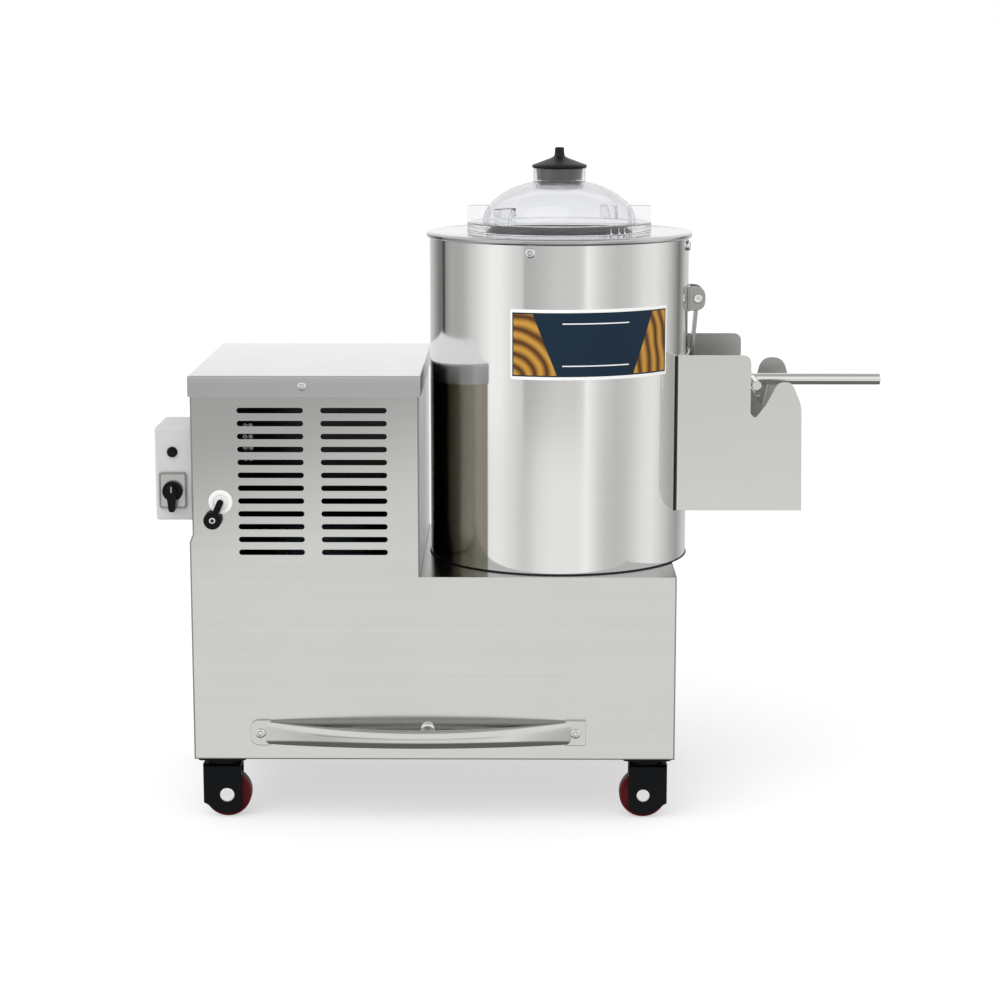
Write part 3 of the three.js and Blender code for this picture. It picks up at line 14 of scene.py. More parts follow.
import bmesh
import bpy
import numpy as np
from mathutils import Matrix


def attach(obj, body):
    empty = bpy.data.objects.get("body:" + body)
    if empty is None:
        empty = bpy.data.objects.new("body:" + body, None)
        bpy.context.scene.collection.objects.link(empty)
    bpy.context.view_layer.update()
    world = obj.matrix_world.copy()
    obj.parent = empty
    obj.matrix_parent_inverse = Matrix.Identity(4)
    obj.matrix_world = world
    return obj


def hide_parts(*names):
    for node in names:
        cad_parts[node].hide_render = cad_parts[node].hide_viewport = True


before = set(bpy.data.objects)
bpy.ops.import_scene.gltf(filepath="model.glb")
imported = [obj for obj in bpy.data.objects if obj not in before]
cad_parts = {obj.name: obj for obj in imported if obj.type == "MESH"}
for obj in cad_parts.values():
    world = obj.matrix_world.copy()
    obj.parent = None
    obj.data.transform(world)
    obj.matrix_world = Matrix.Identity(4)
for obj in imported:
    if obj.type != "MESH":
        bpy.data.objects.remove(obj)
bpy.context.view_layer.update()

LOG = logging.getLogger("peeler")
MM = 0.001
ORIGIN = np.array([-413.0, -167.5, 0.0])
CLEARANCE = 0.3
DRUM_AXIS = (456.0, 176.0)
DRUM_RADIUS = 165.0
LOCK_AXIS = (39.6, 408.0)
FRONTWARD = (0.0, -1.0, 0.0)
# angle in degrees of the front, where 0 looks to the right
FRONT = -90.0
# metres within which points are one, and edges that are too short to keep
WELD = 1e-6
SHORTEST_EDGE = 1e-7
# a face of a sheet is flat when its depths differ by less than this share of the rim
FLAT_SHARE = 0.01
# how much coarser the long brushing marks are, and the noise above which a grain shows
LONG_MARKS = 0.17
GRAIN_LEVEL = 0.56
# castors: name and y of each row, then name, x and facing in radians of each side
CASTOR_ROWS = (("front", 34.0), ("rear", 316.0))
CASTOR_SIDES = (("left", 34.0, 0.0), ("right", 566.0, math.pi))

Array = np.ndarray
Pair = tuple[float, float]
Triple = tuple[float, float, float]
Colour = Triple
Profile = Sequence[Pair]
Socket = bpy.types.NodeSocket


class Axis(Enum):
    """Direction that a profile is carried along, or turned about."""

    X = (1.0, 0.0, 0.0)
    Y = (0.0, 1.0, 0.0)
    Z = (0.0, 0.0, 1.0)


class Grain(Enum):
    """Stretch of the brushing marks, as marks per metre along X, Y and Z."""

    ALONG_X = (6.0, 900.0, 900.0)
    ALONG_Y = (900.0, 6.0, 900.0)
    AROUND_Z = (9.0, 9.0, 1100.0)


# Geometry


@dataclass
class Shell:
    """A closed surface: points in millimetres, faces as rows of point numbers, and which are flat."""

    points: Array
    faces: list[list[int]]
    flat: list[bool] = field(default_factory=list)


def to_row(points: Array) -> Array:
    """Millimetres from the cabinet's corner as metres in the row frame."""
    return (np.asarray(points, float) + ORIGIN) * MM


def grid(points: Array, wrap_u: bool = False, wrap_v: bool = True, caps: bool = False) -> Shell:
    """Join a grid of points into faces; point (u, v) meets (u+1, v), (u+1, v+1) and (u, v+1).

    Args:
        points: array of shape (rings, points in a ring, 3).
        wrap_u: joins the last ring to the first.
        wrap_v: joins the last point of each ring to its first.
        caps: closes the first and the last ring with one face each.

    Returns:
        The surface.
    """
    rings, count = points.shape[:2]
    index = np.arange(rings * count).reshape(rings, count)
    if wrap_u:
        index = np.vstack([index, index[:1]])
    if wrap_v:
        index = np.hstack([index, index[:, :1]])
    quads = np.stack([index[:-1, :-1], index[1:, :-1], index[1:, 1:], index[:-1, 1:]], -1)
    faces = quads.reshape(-1, 4).tolist()
    flat = [False] * len(faces)
    if caps:
        faces += [index[0, :count][::-1].tolist(), index[-1, :count].tolist()]
        flat += [True, True]
    return Shell(points.reshape(-1, 3), faces, flat)


def basis(direction: Sequence[float]) -> tuple[Array, Array, Array]:
    """Three unit vectors square to each other, for turning things about a direction.

    Args:
        direction: the direction, of any length.

    Returns:
        Two unit vectors square to the direction, and its own unit vector.
    """
    along = np.asarray(direction, float) / np.linalg.norm(direction)
    helper = np.array([0.0, 0.0, 1.0]) if abs(along[2]) < 0.9 else np.array([1.0, 0.0, 0.0])
    across = np.cross(helper, along)
    across /= np.linalg.norm(across)
    return across, np.cross(along, across), along


def revolve(
    profile: Profile,
    centre: Sequence[float],
    direction: Sequence[float] = Axis.Z.value,
    steps: int = 96,
) -> Shell:
    """Turn a profile about an axis: point = centre + r (cos t a + sin t b) + h d, for each t.

    Args:
        profile: rows of (radius r, distance h along the axis); it closes on itself unless
            both its ends lie on the axis.
        centre: a point on the axis.
        direction: the axis d.
        steps: number of steps of the angle t in a full turn.

    Returns:
        The closed surface.
    """
    across, upward, along = basis(direction)
    radius, height = np.asarray(profile, float).T
    turn = np.linspace(0, 2 * np.pi, steps, endpoint=False)
    spoke = np.cos(turn)[:, None] * across + np.sin(turn)[:, None] * upward
    points = np.asarray(centre, float) + radius[:, None, None] * spoke + height[:, None, None] * along
    return grid(points, wrap_u=not (radius[0] == 0 and radius[-1] == 0))


def rounded(corners: Sequence[tuple[float, ...]], steps: int = 8) -> Array:
    """An outline through corners (x, y, round), each blended by a parabola from cut to cut.

    With s and e the points cut back along the corner's sides, the blend at share t is
    (1-t)^2 s + 2t(1-t) corner + t^2 e.

    Args:
        corners: the outline's corners with their rounds.
        steps: number of points of a blend, less one.

    Returns:
        Array of shape (points, 2).
    """
    rows = np.array([(c[0], c[1], c[2] if len(c) > 2 else 0.0) for c in corners])
    corner, cut = rows[:, :2], rows[:, 2]
    share = np.linspace(0, 1, steps + 1)[:, None]
    parts = []
    for index, (point, size) in enumerate(zip(corner, cut)):
        if size == 0:
            parts.append(point[None])
            continue
        before = corner[index - 1] - point
        after = corner[(index + 1) % len(corner)] - point
        start = point + before / np.linalg.norm(before) * size
        end = point + after / np.linalg.norm(after) * size
        parts.append((1 - share) ** 2 * start + 2 * share * (1 - share) * point + share**2 * end)
    return np.vstack(parts)


def oblong(low: Pair, high: Pair, cut: float, steps: int = 8, rooted: bool = False) -> Array:
    """An oblong's outline with corners blended as in `rounded`; rooted, its left ones stay square."""
    (x0, y0), (x1, y1), left = low, high, 0.0 if rooted else cut
    return rounded([(x0, y0, left), (x1, y0, cut), (x1, y1, cut), (x0, y1, left)], steps)


def circle(x: float, y: float, radius: float, steps: int = 48) -> Array:
    """Points of a circle as an outline."""
    turn = np.linspace(0, 2 * np.pi, steps, endpoint=False)
    return np.stack([x + radius * np.cos(turn), y + radius * np.sin(turn)], -1)


def arc(centre: Pair, radius: float, start: float, end: float, steps: int = 12) -> list[Pair]:
    """Points (a, b) of an arc about a centre, from one angle in degrees to another."""
    turn = np.radians(np.linspace(start, end, steps + 1))
    return list(zip(centre[0] + radius * np.cos(turn), centre[1] + radius * np.sin(turn)))


def upright(centre: Pair, radius: Array | float, turn: Array | float, height: Array | float) -> Array:
    """Points (x + r cos t, y + r sin t, h) about an upright axis, for arrays that spread together."""
    x, y = centre[0] + radius * np.cos(turn), centre[1] + radius * np.sin(turn)
    return np.stack(np.broadcast_arrays(x, y, height), -1)


def at_depth(outline: Array, depth: float | Array, axis: Axis) -> Array:
    """A flat outline placed at a depth along the axis that it is square to.

    Args:
        outline: array of (x, z) for axis Y, (x, y) for axis Z and (y, z) for axis X.
        depth: one depth, or one for each point.
        axis: the axis.

    Returns:
        Array of shape (points, 3).
    """
    first, second, third = np.broadcast_arrays(*np.asarray(outline, float).T, depth)
    columns = {
        Axis.X: (third, first, second), Axis.Y: (first, third, second), Axis.Z: (first, second, third),
    }
    return np.stack(columns[axis], -1)


def link(name: str, data: bpy.types.ID) -> bpy.types.Object:
    """A new object that holds the data, put into the scene."""
    holder = bpy.data.objects.new(name, data)
    bpy.context.scene.collection.objects.link(holder)
    return holder


def places_of(mesh: bpy.types.Mesh) -> Array:
    """The places of a mesh's points, as an array of shape (points, 3)."""
    places = np.zeros(len(mesh.vertices) * 3)
    mesh.vertices.foreach_get("co", places)
    return places.reshape(-1, 3)


def corners_of(mesh: bpy.types.Mesh, value: str) -> Array:
    """One whole number of each face corner of a mesh, such as its point or its edge."""
    numbers = np.zeros(len(mesh.loops), int)
    mesh.loops.foreach_get(value, numbers)
    return numbers


def plate(
    outlines: Sequence[Array], low: float, high: float, axis: Axis = Axis.Y, edge: float = 0.3,
    rounds: int = 2,
) -> Shell:
    """A flat sheet between two depths, its outline drawn square to the axis.

    The first outline is the sheet's edge and the others are holes. The filled outline is
    carried from `low` to `high`, and `edge` is taken off all its rims.

    Args:
        outlines: arrays of points, in the order of `at_depth`.
        low: lower depth along the axis.
        high: upper depth along the axis.
        axis: direction of the sheet's thickness.
        edge: radius of the rims.
        rounds: number of steps of a rim's radius.

    Returns:
        The closed surface.
    """
    curve = bpy.data.curves.new("outline", "CURVE")
    curve.dimensions = "2D"
    curve.fill_mode = "BOTH"
    curve.extrude = (high - low) / 2 - edge
    curve.bevel_depth = edge
    curve.bevel_resolution = rounds
    curve.offset = -edge
    for outline in outlines:
        spline = curve.splines.new("POLY")
        spline.points.add(len(outline) - 1)
        points = np.ones((len(outline), 4))
        points[:, :2] = outline
        points[:, 2] = 0
        spline.points.foreach_set("co", points.ravel())
        spline.use_cyclic_u = True
    holder = link("outline", curve)
    graph = bpy.context.evaluated_depsgraph_get()
    mesh = bpy.data.meshes.new_from_object(holder.evaluated_get(graph))
    places = places_of(mesh)
    depth = places[:, 2] + (low + high) / 2
    faces = [list(face.vertices) for face in mesh.polygons]
    flat = [bool(np.ptp(depth[face]) < edge * FLAT_SHARE) for face in faces]
    bpy.data.objects.remove(holder)
    bpy.data.curves.remove(curve)
    bpy.data.meshes.remove(mesh)
    return Shell(at_depth(places[:, :2], depth, axis), faces, flat)


def pair_of_plates(
    outlines: Sequence[Array], middle: float, inner: float, outer: float, edge: float
) -> list[Shell]:
    """Two equal upright sheets between two distances from a middle plane that is square to Y."""
    sides = ((-outer, -inner), (inner, outer))
    return [plate(outlines, middle + low, middle + high, edge=edge) for low, high in sides]


def sector(
    centre: Pair, inner: float, outer: float, half_angle: float, low: float, high: float,
    edge: float = 0.3, steps: int = 40,
) -> Shell:
    """A curved plate about an upright axis, facing +X: a small rounded oblong carried round an arc.

    Args:
        centre: x and y of the axis.
        inner: inner radius.
        outer: outer radius.
        half_angle: half the arc, in radians.
        low: lower height.
        high: upper height.
        edge: round of the oblong's corners.
        steps: number of steps round the arc.

    Returns:
        The closed surface.
    """
    section = oblong((inner, low), (outer, high), edge, 3)
    turn = np.linspace(-half_angle, half_angle, steps + 1)[:, None]
    return grid(upright(centre, section[:, 0], turn, section[:, 1]), caps=True)


def prism(section: Array, low: float, high: float) -> Shell:
    """A section in Y and Z carried straight along X: point = (x, section(t)) for x = low, high."""
    return grid(np.array([at_depth(section, x, Axis.X) for x in (low, high)]), caps=True)


def soft_block(
    low: Sequence[float], high: Sequence[float], corner: float, edge: float, steps: int = 6
) -> Shell:
    """A block along Y whose upright outline has rounded corners and whose two ends are eased.

    Ring by ring, the outline is drawn in by the inset of a quarter circle of radius `edge`.

    Args:
        low: lowest corner.
        high: highest corner.
        corner: round of the outline's corners.
        edge: radius of the ends' rims.
        steps: number of steps of each quarter circle.

    Returns:
        The closed surface.
    """
    turn = np.linspace(0, np.pi / 2, steps + 1)
    inset = edge * (1 - np.sin(turn))
    depth = edge * (1 - np.cos(turn))
    insets = np.concatenate([inset, inset[::-1]])
    depths = np.concatenate([low[1] + depth, high[1] - depth[::-1]])
    rings = []
    for drawn_in, y in zip(insets, depths):
        first = (low[0] + drawn_in, low[2] + drawn_in)
        last = (high[0] - drawn_in, high[2] - drawn_in)
        rings.append(at_depth(oblong(first, last, corner - drawn_in / 2), y, Axis.Y))
    return grid(np.array(rings), caps=True)


def turned_about(shell: Shell, centre: Sequence[float], axis: Axis, angle: float) -> Shell:
    """The same surface, turned: a point's two parts square to the axis turn as (a, b) in a plane.

    Args:
        shell: the surface.
        centre: a point on the axis.
        axis: the axis.
        angle: the angle in radians.

    Returns:
        The turned surface.
    """
    across, upward, along = basis(axis.value)
    local = shell.points - np.asarray(centre, float)
    a, b, c = local @ across, local @ upward, local @ along
    first = a * math.cos(angle) - b * math.sin(angle)
    second = a * math.sin(angle) + b * math.cos(angle)
    points = np.outer(first, across) + np.outer(second, upward) + np.outer(c, along)
    return replace(shell, points=points + np.asarray(centre, float))


def carried(shell: Shell, angle: float, place: Pair) -> Shell:
    """A surface built about the upright axis at zero, turned by an angle and shifted to its place."""
    turned = turned_about(shell, (0, 0, 0), Axis.Z, angle)
    return replace(turned, points=turned.points + (*place, 0.0))


# Finishes


class Nodes:
    """A small hand for a node tree: adds nodes, sets their inputs and links them."""

    def __init__(self, tree: bpy.types.NodeTree) -> None:
        """Keep the tree that nodes are added to."""
        self.tree = tree

    @classmethod
    def of(cls, owner: bpy.types.ID) -> "Nodes":
        """The hand for a material's or a world's own tree, emptied."""
        owner.use_nodes = True
        owner.node_tree.nodes.clear()
        return cls(owner.node_tree)

    def add(self, kind: str, settings: dict | None = None, **inputs: object) -> bpy.types.Node:
        """Add a node.

        Args:
            kind: Blender's name of the node type.
            settings: properties of the node.
            **inputs: values or output sockets for the inputs, by name with _ for a space.

        Returns:
            The node.
        """
        node = self.tree.nodes.new(kind)
        for name, value in (settings or {}).items():
            setattr(node, name, value)
        for name, value in inputs.items():
            key = int(name[1:]) if name[0] == "i" and name[1:].isdigit() else name.replace("_", " ")
            self.feed(node.inputs[key], value)
        return node

    def feed(self, socket: Socket, value: object) -> None:
        """Link an output to an input socket, or set the socket's own value."""
        if isinstance(value, Socket):
            self.tree.links.new(value, socket)
        elif isinstance(value, tuple) and len(value) == 3 and socket.type == "RGBA":
            socket.default_value = (*value, 1.0)
        else:
            socket.default_value = value

    def math(self, operation: str, first: object, second: object = 0.0) -> Socket:
        """The result of one arithmetic step."""
        return self.add("ShaderNodeMath", {"operation": operation}, i0=first, i1=second).outputs[0]

    def over(self, value: object, limit: float) -> Socket:
        """1 where the value lies beyond the limit on either side of zero, or else 0."""
        return self.math("GREATER_THAN", self.math("ABSOLUTE", value), limit)

    def vector(self, operation: str, place: object, **inputs: object) -> bpy.types.Node:
        """One step of vector arithmetic."""
        return self.add("ShaderNodeVectorMath", {"operation": operation}, i0=place, **inputs)

    def mix(self, share: object, first: object, second: object) -> Socket:
        """A colour between two colours."""
        node = self.add("ShaderNodeMix", {"data_type": "RGBA"}, i0=share, i6=first, i7=second)
        return node.outputs[2]

    def spread(self, value: object, low: float, high: float) -> Socket:
        """A value of 0 to 1 spread between two limits."""
        return self.add("ShaderNodeMapRange", Value=value, To_Min=low, To_Max=high).outputs[0]

    def share(self, value: object, limits: Pair, soft: bool = False) -> Socket:
        """How far a value has gone from one limit to the other, from 0 to 1, with soft ends or not."""
        settings = {"interpolation_type": "SMOOTHSTEP" if soft else "LINEAR"}
        return self.add(
            "ShaderNodeMapRange", settings, Value=value, From_Min=limits[0], From_Max=limits[1]
        ).outputs[0]

    def noise(self, place: object, scale: object, detail: float, roughness: float) -> Socket:
        """Cloudy noise of 0 to 1 at a place."""
        node = self.add("ShaderNodeTexNoise", Vector=place, Scale=scale, Detail=detail, Roughness=roughness)
        return node.outputs["Fac"]

    def emboss(self, shader: bpy.types.Node, height: object, strength: float, distance: float) -> None:
        """Feed the bump of a height to a shader's normal."""
        bump = self.add("ShaderNodeBump", Strength=strength, Distance=distance, Height=height)
        self.feed(shader.inputs["Normal"], bump.outputs[0])


def new_group(name: str, inputs: Sequence[tuple[str, str]], outputs: Sequence[tuple[str, str]]) -> tuple:
    """Start a shader node group with named sockets.

    Args:
        name: the group's name.
        inputs: (name, kind) of each input, kind being Float, Vector or Color.
        outputs: the same for the outputs.

    Returns:
        The group's Nodes, its input node and its output node.
    """
    tree = bpy.data.node_groups.new(name, "ShaderNodeTree")
    for label, kind in inputs:
        tree.interface.new_socket(label, in_out="INPUT", socket_type=f"NodeSocket{kind}")
    for label, kind in outputs:
        tree.interface.new_socket(label, in_out="OUTPUT", socket_type=f"NodeSocket{kind}")
    nodes = Nodes(tree)
    return nodes, nodes.add("NodeGroupInput"), nodes.add("NodeGroupOutput")


def streak_group() -> bpy.types.NodeTree:
    """Brushing marks: noise on coordinates stretched along the marks, with longer faint ones."""
    nodes, start, end = new_group(
        "streaks", [("Vector", "Vector"), ("Stretch", "Vector")], [("Fine", "Float"), ("Long", "Float")]
    )
    place, stretch = start.outputs[0], start.outputs[1]
    near = nodes.vector("MULTIPLY", place, i1=stretch).outputs[0]
    nodes.feed(end.inputs[0], nodes.noise(near, 1.0, detail=4.0, roughness=0.7))
    nodes.feed(end.inputs[1], nodes.noise(near, LONG_MARKS, detail=2.0, roughness=0.5))
    return nodes.tree


def cloud_group() -> bpy.types.NodeTree:
    """Soft blotches of handling and polish, as a mask pushed away from its middle."""
    nodes, start, end = new_group(
        "clouds", [("Vector", "Vector"), ("Scale", "Float"), ("Contrast", "Float")], [("Mask", "Float")]
    )
    noise = nodes.noise(start.outputs[0], start.outputs[1], detail=5.0, roughness=0.6)
    centred = nodes.math("SUBTRACT", noise, 0.5)
    pushed = nodes.math("MULTIPLY", centred, start.outputs[2])
    shifted = nodes.add("ShaderNodeMath", {"operation": "ADD", "use_clamp": True}, i0=pushed, i1=0.5)
    nodes.feed(end.inputs[0], shifted.outputs[0])
    return nodes.tree


def speck_group() -> bpy.types.NodeTree:
    """Fine pits or grains: cells whose middles are high, as a height and a mask."""
    nodes, start, end = new_group(
        "specks", [("Vector", "Vector"), ("Scale", "Float")], [("Height", "Float"), ("Mask", "Float")]
    )
    cells = nodes.add("ShaderNodeTexVoronoi", Vector=start.outputs[0], Scale=start.outputs[1])
    rough = nodes.noise(start.outputs[0], start.outputs[1], detail=3.0, roughness=0.6)
    inverse = nodes.math("SUBTRACT", 1.0, cells.outputs["Distance"])
    nodes.feed(end.inputs[0], nodes.math("MULTIPLY", inverse, rough))
    nodes.feed(end.inputs[1], nodes.math("GREATER_THAN", rough, GRAIN_LEVEL))
    return nodes.tree


class Effects:
    """The shared node groups, built once."""

    groups: dict[str, bpy.types.NodeTree] = {}

    @classmethod
    def get(cls, name: str) -> bpy.types.NodeTree:
        """The named group, made at its first use."""
        makers = {"streaks": streak_group, "clouds": cloud_group, "specks": speck_group}
        if name not in cls.groups:
            cls.groups[name] = makers[name]()
        return cls.groups[name]


@dataclass(frozen=True)
class Finish:
    """A surface finish; `slot` is the record's material slot that it stands for."""

    name: str
    slot: str
    colour: Colour
    roughness: float
    gloss_range: Pair = (1.0, 1.0)

    def material(self) -> bpy.types.Material:
        """The finish's material, made at its first use."""
        known = bpy.data.materials.get(f"dress_{self.name}")
        if known:
            return known
        material = bpy.data.materials.new(f"dress_{self.name}")
        nodes = Nodes.of(material)
        shader = nodes.add("ShaderNodeBsdfPrincipled", Base_Color=self.colour, Roughness=self.roughness)
        nodes.add("ShaderNodeOutputMaterial", Surface=shader.outputs[0])
        self.paint(nodes, shader, nodes.add("ShaderNodeTexCoord").outputs["Object"])
        return material

    def paint(self, nodes: Nodes, shader: bpy.types.Node, place: Socket) -> None:
        """Lay the finish's own nodes; each kind of finish has its own."""
        raise NotImplementedError

    def group(self, nodes: Nodes, name: str, **inputs: object) -> bpy.types.Node:
        """Place a shared group in the material with this material's own values."""
        return nodes.add("ShaderNodeGroup", {"node_tree": Effects.get(name)}, **inputs)

    def gloss(self, nodes: Nodes, mask: Socket) -> Socket:
        """The roughness, spread by a mask between two multiples of the finish's own."""
        return nodes.spread(mask, *(self.roughness * limit for limit in self.gloss_range))

    def shade(self, amount: float) -> Colour:
        """The finish's colour, made lighter or darker by a factor."""
        return tuple(min(channel * amount, 1.0) for channel in self.colour)


@dataclass(frozen=True)
class Steel(Finish):
    """Stainless sheet or bar: brushing marks in colour, gloss and bump, and soft blotches; some finishes
    also get painted shade that grows along a direction, and a pale painted sheen at a slant.
    """

    grain: Grain = Grain.ALONG_X
    marks: float = 0.05
    relief: float = 0.08
    blotch: float = 0.05
    blotch_shade: float = 0.4
    mark_height: float = 0.0004
    gloss_range: Pair = (0.75, 1.35)
    smear: Pair = (-0.02, 0.03)
    # painted shade: between two places along a direction the colour is scaled from a start factor to an end
    # factor
    painted_shade_along: Triple = (0.0, 0.0, 1.0)
    painted_shade_from: float = 0.0
    painted_shade_to: float = 1.0
    painted_shade_start: float = 1.0
    painted_shade_end: float = 1.0
    # painted sheen: where a face is seen at a slant its colour turns pale and bluish and less metallic, for
    # reflected sky
    painted_sheen: float = 0.0
    painted_sheen_colour: Colour = (0.96, 0.96, 0.99)
    painted_sheen_range: Pair = (0.76, 0.9)

    def paint(self, nodes: Nodes, shader: bpy.types.Node, place: Socket) -> None:
        """Metal whose marks run along the grain."""
        shader.inputs["Metallic"].default_value = 1.0
        streaks = self.group(nodes, "streaks", Vector=place, Stretch=self.grain.value)
        clouds = self.group(nodes, "clouds", Vector=place, Scale=4.5, Contrast=2.2)
        base = nodes.mix(streaks.outputs[1], self.shade(1 - self.marks), self.shade(1 + self.marks))
        handled = nodes.spread(clouds.outputs[0], 0.0, self.blotch)
        base = nodes.mix(handled, base, self.shade(self.blotch_shade))
        # painted shade: the colour is scaled by place along a direction
        if self.painted_shade_start != self.painted_shade_end:
            reach = nodes.vector("DOT_PRODUCT", place, i1=self.painted_shade_along).outputs["Value"]
            passed = nodes.share(reach, (self.painted_shade_from, self.painted_shade_to), soft=True)
            painted_shade_factor = nodes.spread(passed, self.painted_shade_start, self.painted_shade_end)
            base = nodes.vector("SCALE", base, Scale=painted_shade_factor).outputs[0]
        # painted sheen: pale, less metallic colour at grazing angles
        if self.painted_sheen:
            slant = nodes.add("ShaderNodeLayerWeight", Blend=0.5).outputs["Facing"]
            share = nodes.share(slant, self.painted_sheen_range)
            base = nodes.mix(share, base, self.painted_sheen_colour)
            nodes.feed(shader.inputs["Metallic"], nodes.spread(share, 1.0, 1.0 - self.painted_sheen))
        nodes.feed(shader.inputs["Base Color"], base)
        smear = nodes.spread(clouds.outputs[0], *self.smear)
        roughness = nodes.math("ADD", self.gloss(nodes, streaks.outputs[0]), smear)
        nodes.feed(shader.inputs["Roughness"], roughness)
        nodes.emboss(shader, streaks.outputs[0], self.relief, self.mark_height)


@dataclass(frozen=True)
class Moulding(Finish):
    """Moulded plastic or enamel: a fine pitted skin with a little uneven gloss."""

    pit_scale: float = 2600.0
    pit_depth: float = 0.12
    pit_height: float = 0.0003
    gloss_range: Pair = (0.85, 1.2)
    coat: float = 0.0
    tint: float = 0.12
    specular: float = 0.5

    def paint(self, nodes: Nodes, shader: bpy.types.Node, place: Socket) -> None:
        """Plastic with a pitted skin."""
        shader.inputs["Coat Weight"].default_value = self.coat
        shader.inputs["Specular IOR Level"].default_value = self.specular
        specks = self.group(nodes, "specks", Vector=place, Scale=self.pit_scale)
        clouds = self.group(nodes, "clouds", Vector=place, Scale=22.0, Contrast=2.0)
        base = nodes.mix(clouds.outputs[0], self.shade(1 - self.tint), self.shade(1 + self.tint))
        nodes.feed(shader.inputs["Base Color"], base)
        nodes.feed(shader.inputs["Roughness"], self.gloss(nodes, clouds.outputs[0]))
        nodes.emboss(shader, specks.outputs[0], self.pit_depth, self.pit_height)


@dataclass(frozen=True)
class Grit(Finish):
    """Coarse abrasive grain in resin, light and dark grains over a rough bump."""

    grain_scale: float = 420.0
    grain_depth: float = 0.9
    grain_height: float = 0.0012
    light_grain: float = 2.4
    dullness: Pair = (0.6, 0.95)

    def paint(self, nodes: Nodes, shader: bpy.types.Node, place: Socket) -> None:
        """Grains in resin."""
        specks = self.group(nodes, "specks", Vector=place, Scale=self.grain_scale)
        base = nodes.mix(specks.outputs[1], self.colour, self.shade(self.light_grain))
        nodes.feed(shader.inputs["Base Color"], base)
        nodes.feed(shader.inputs["Roughness"], nodes.spread(specks.outputs[0], *self.dullness))
        nodes.emboss(shader, specks.outputs[0], self.grain_depth, self.grain_height)


@dataclass(frozen=True)
class Clear(Finish):
    """Clear moulded polycarbonate, with painted shade where it is seen at a slant, for the dark look of its
    edges.
    """

    clearness: float = 0.97
    bending: float = 1.46
    slant_range: Pair = (0.55, 0.97)
    painted_slant_shade: float = 0.5
    gloss_range: Pair = (0.5, 2.0)
    ripple: float = 0.03
    ripple_height: float = 0.0008

    def paint(self, nodes: Nodes, shader: bpy.types.Node, place: Socket) -> None:
        """See-through plastic."""
        shader.inputs["Transmission Weight"].default_value = self.clearness
        shader.inputs["IOR"].default_value = self.bending
        clouds = self.group(nodes, "clouds", Vector=place, Scale=30.0, Contrast=2.0)
        # painted shade: the colour darkens where the surface is seen at a slant
        slant = nodes.add("ShaderNodeLayerWeight", Blend=0.5).outputs["Facing"]
        share = nodes.share(slant, self.slant_range)
        nodes.feed(shader.inputs["Base Color"], nodes.mix(share, self.colour, self.shade(self.painted_slant_shade)))
        nodes.feed(shader.inputs["Roughness"], self.gloss(nodes, clouds.outputs[0]))
        nodes.emboss(shader, clouds.outputs[0], self.ripple, self.ripple_height)


@dataclass(frozen=True)
class LabelPrint(Finish):
    """A printed plate read from its own UV map: a pale rim, a dark field and two warm ends.

    The warm ends hold rings about the plate's corners, cut by a slanting edge; the field
    between them has two fine rules.
    """

    field_colour: Colour = (0.008, 0.022, 0.042)
    gold: Colour = (0.52, 0.27, 0.045)
    brown: Colour = (0.09, 0.035, 0.012)
    rim_share: Pair = (0.011, 0.045)
    line_share: Pair = (0.018, 0.065)
    end_share: float = 0.30
    slant: float = 0.16
    aspect: float = 2.6
    rule_height: float = 0.3
    rule_half: float = 0.008
    rule_reach: float = 0.2
    specular: float = 0.12
    dullness: Pair = (0.3, 0.42)

    def paint(self, nodes: Nodes, shader: bpy.types.Node, place: Socket) -> None:
        """A print of rim, field, rules and ends."""
        shader.inputs["Specular IOR Level"].default_value = self.specular
        surface = nodes.add("ShaderNodeUVMap", {"uv_map": "print"}).outputs[0]
        parts = nodes.add("ShaderNodeSeparateXYZ", Vector=surface)
        across = nodes.math("SUBTRACT", parts.outputs[0], 0.5)
        upward = nodes.math("SUBTRACT", parts.outputs[1], 0.5)
        lean = nodes.math("MULTIPLY", upward, -self.slant)
        leaned = nodes.math("ADD", nodes.math("ABSOLUTE", across), lean)
        ends = nodes.math("GREATER_THAN", leaned, self.end_share)
        scaled = nodes.vector("MULTIPLY", surface, i1=(self.aspect, 1.0, 1.0)).outputs[0]
        rings = nodes.add(
            "ShaderNodeTexWave", {"wave_type": "RINGS", "rings_direction": "Z"},
            Vector=scaled, Scale=1.7, Distortion=2.5, Detail=1.0,
        )
        warm = nodes.mix(rings.outputs["Fac"], self.brown, self.gold)
        field = nodes.mix(ends, self.field_colour, warm)
        off_rule = nodes.math("SUBTRACT", nodes.math("ABSOLUTE", upward), self.rule_height)
        beside, beyond = nodes.over(off_rule, self.rule_half), nodes.over(across, self.rule_reach)
        print_colour = nodes.mix(nodes.math("MAXIMUM", beside, beyond), self.colour, field)
        for shares, colour in ((self.line_share, self.field_colour), (self.rim_share, self.colour)):
            side, top = nodes.over(across, 0.5 - shares[0]), nodes.over(upward, 0.5 - shares[1])
            print_colour = nodes.mix(nodes.math("MAXIMUM", side, top), print_colour, colour)
        nodes.feed(shader.inputs["Base Color"], print_colour)
        clouds = self.group(nodes, "clouds", Vector=place, Scale=18.0, Contrast=1.6)
        nodes.feed(shader.inputs["Roughness"], nodes.spread(clouds.outputs[0], *self.dullness))


SHEET = Steel("brushed_sheet", "brushed_steel", (0.62, 0.63, 0.61), 0.2)
# painted shade: the front sheet darkens up the tower and towards its left
FRONT_SHEET = Steel(
    "front_sheet", "brushed_steel", (0.62, 0.628, 0.612), 0.15, marks=0.03, relief=0.03, blotch=0.04,
    painted_shade_along=(-0.35, 0.0, 1.0), painted_shade_from=0.44, painted_shade_to=0.64, painted_shade_start=1.0, painted_shade_end=0.68,
)
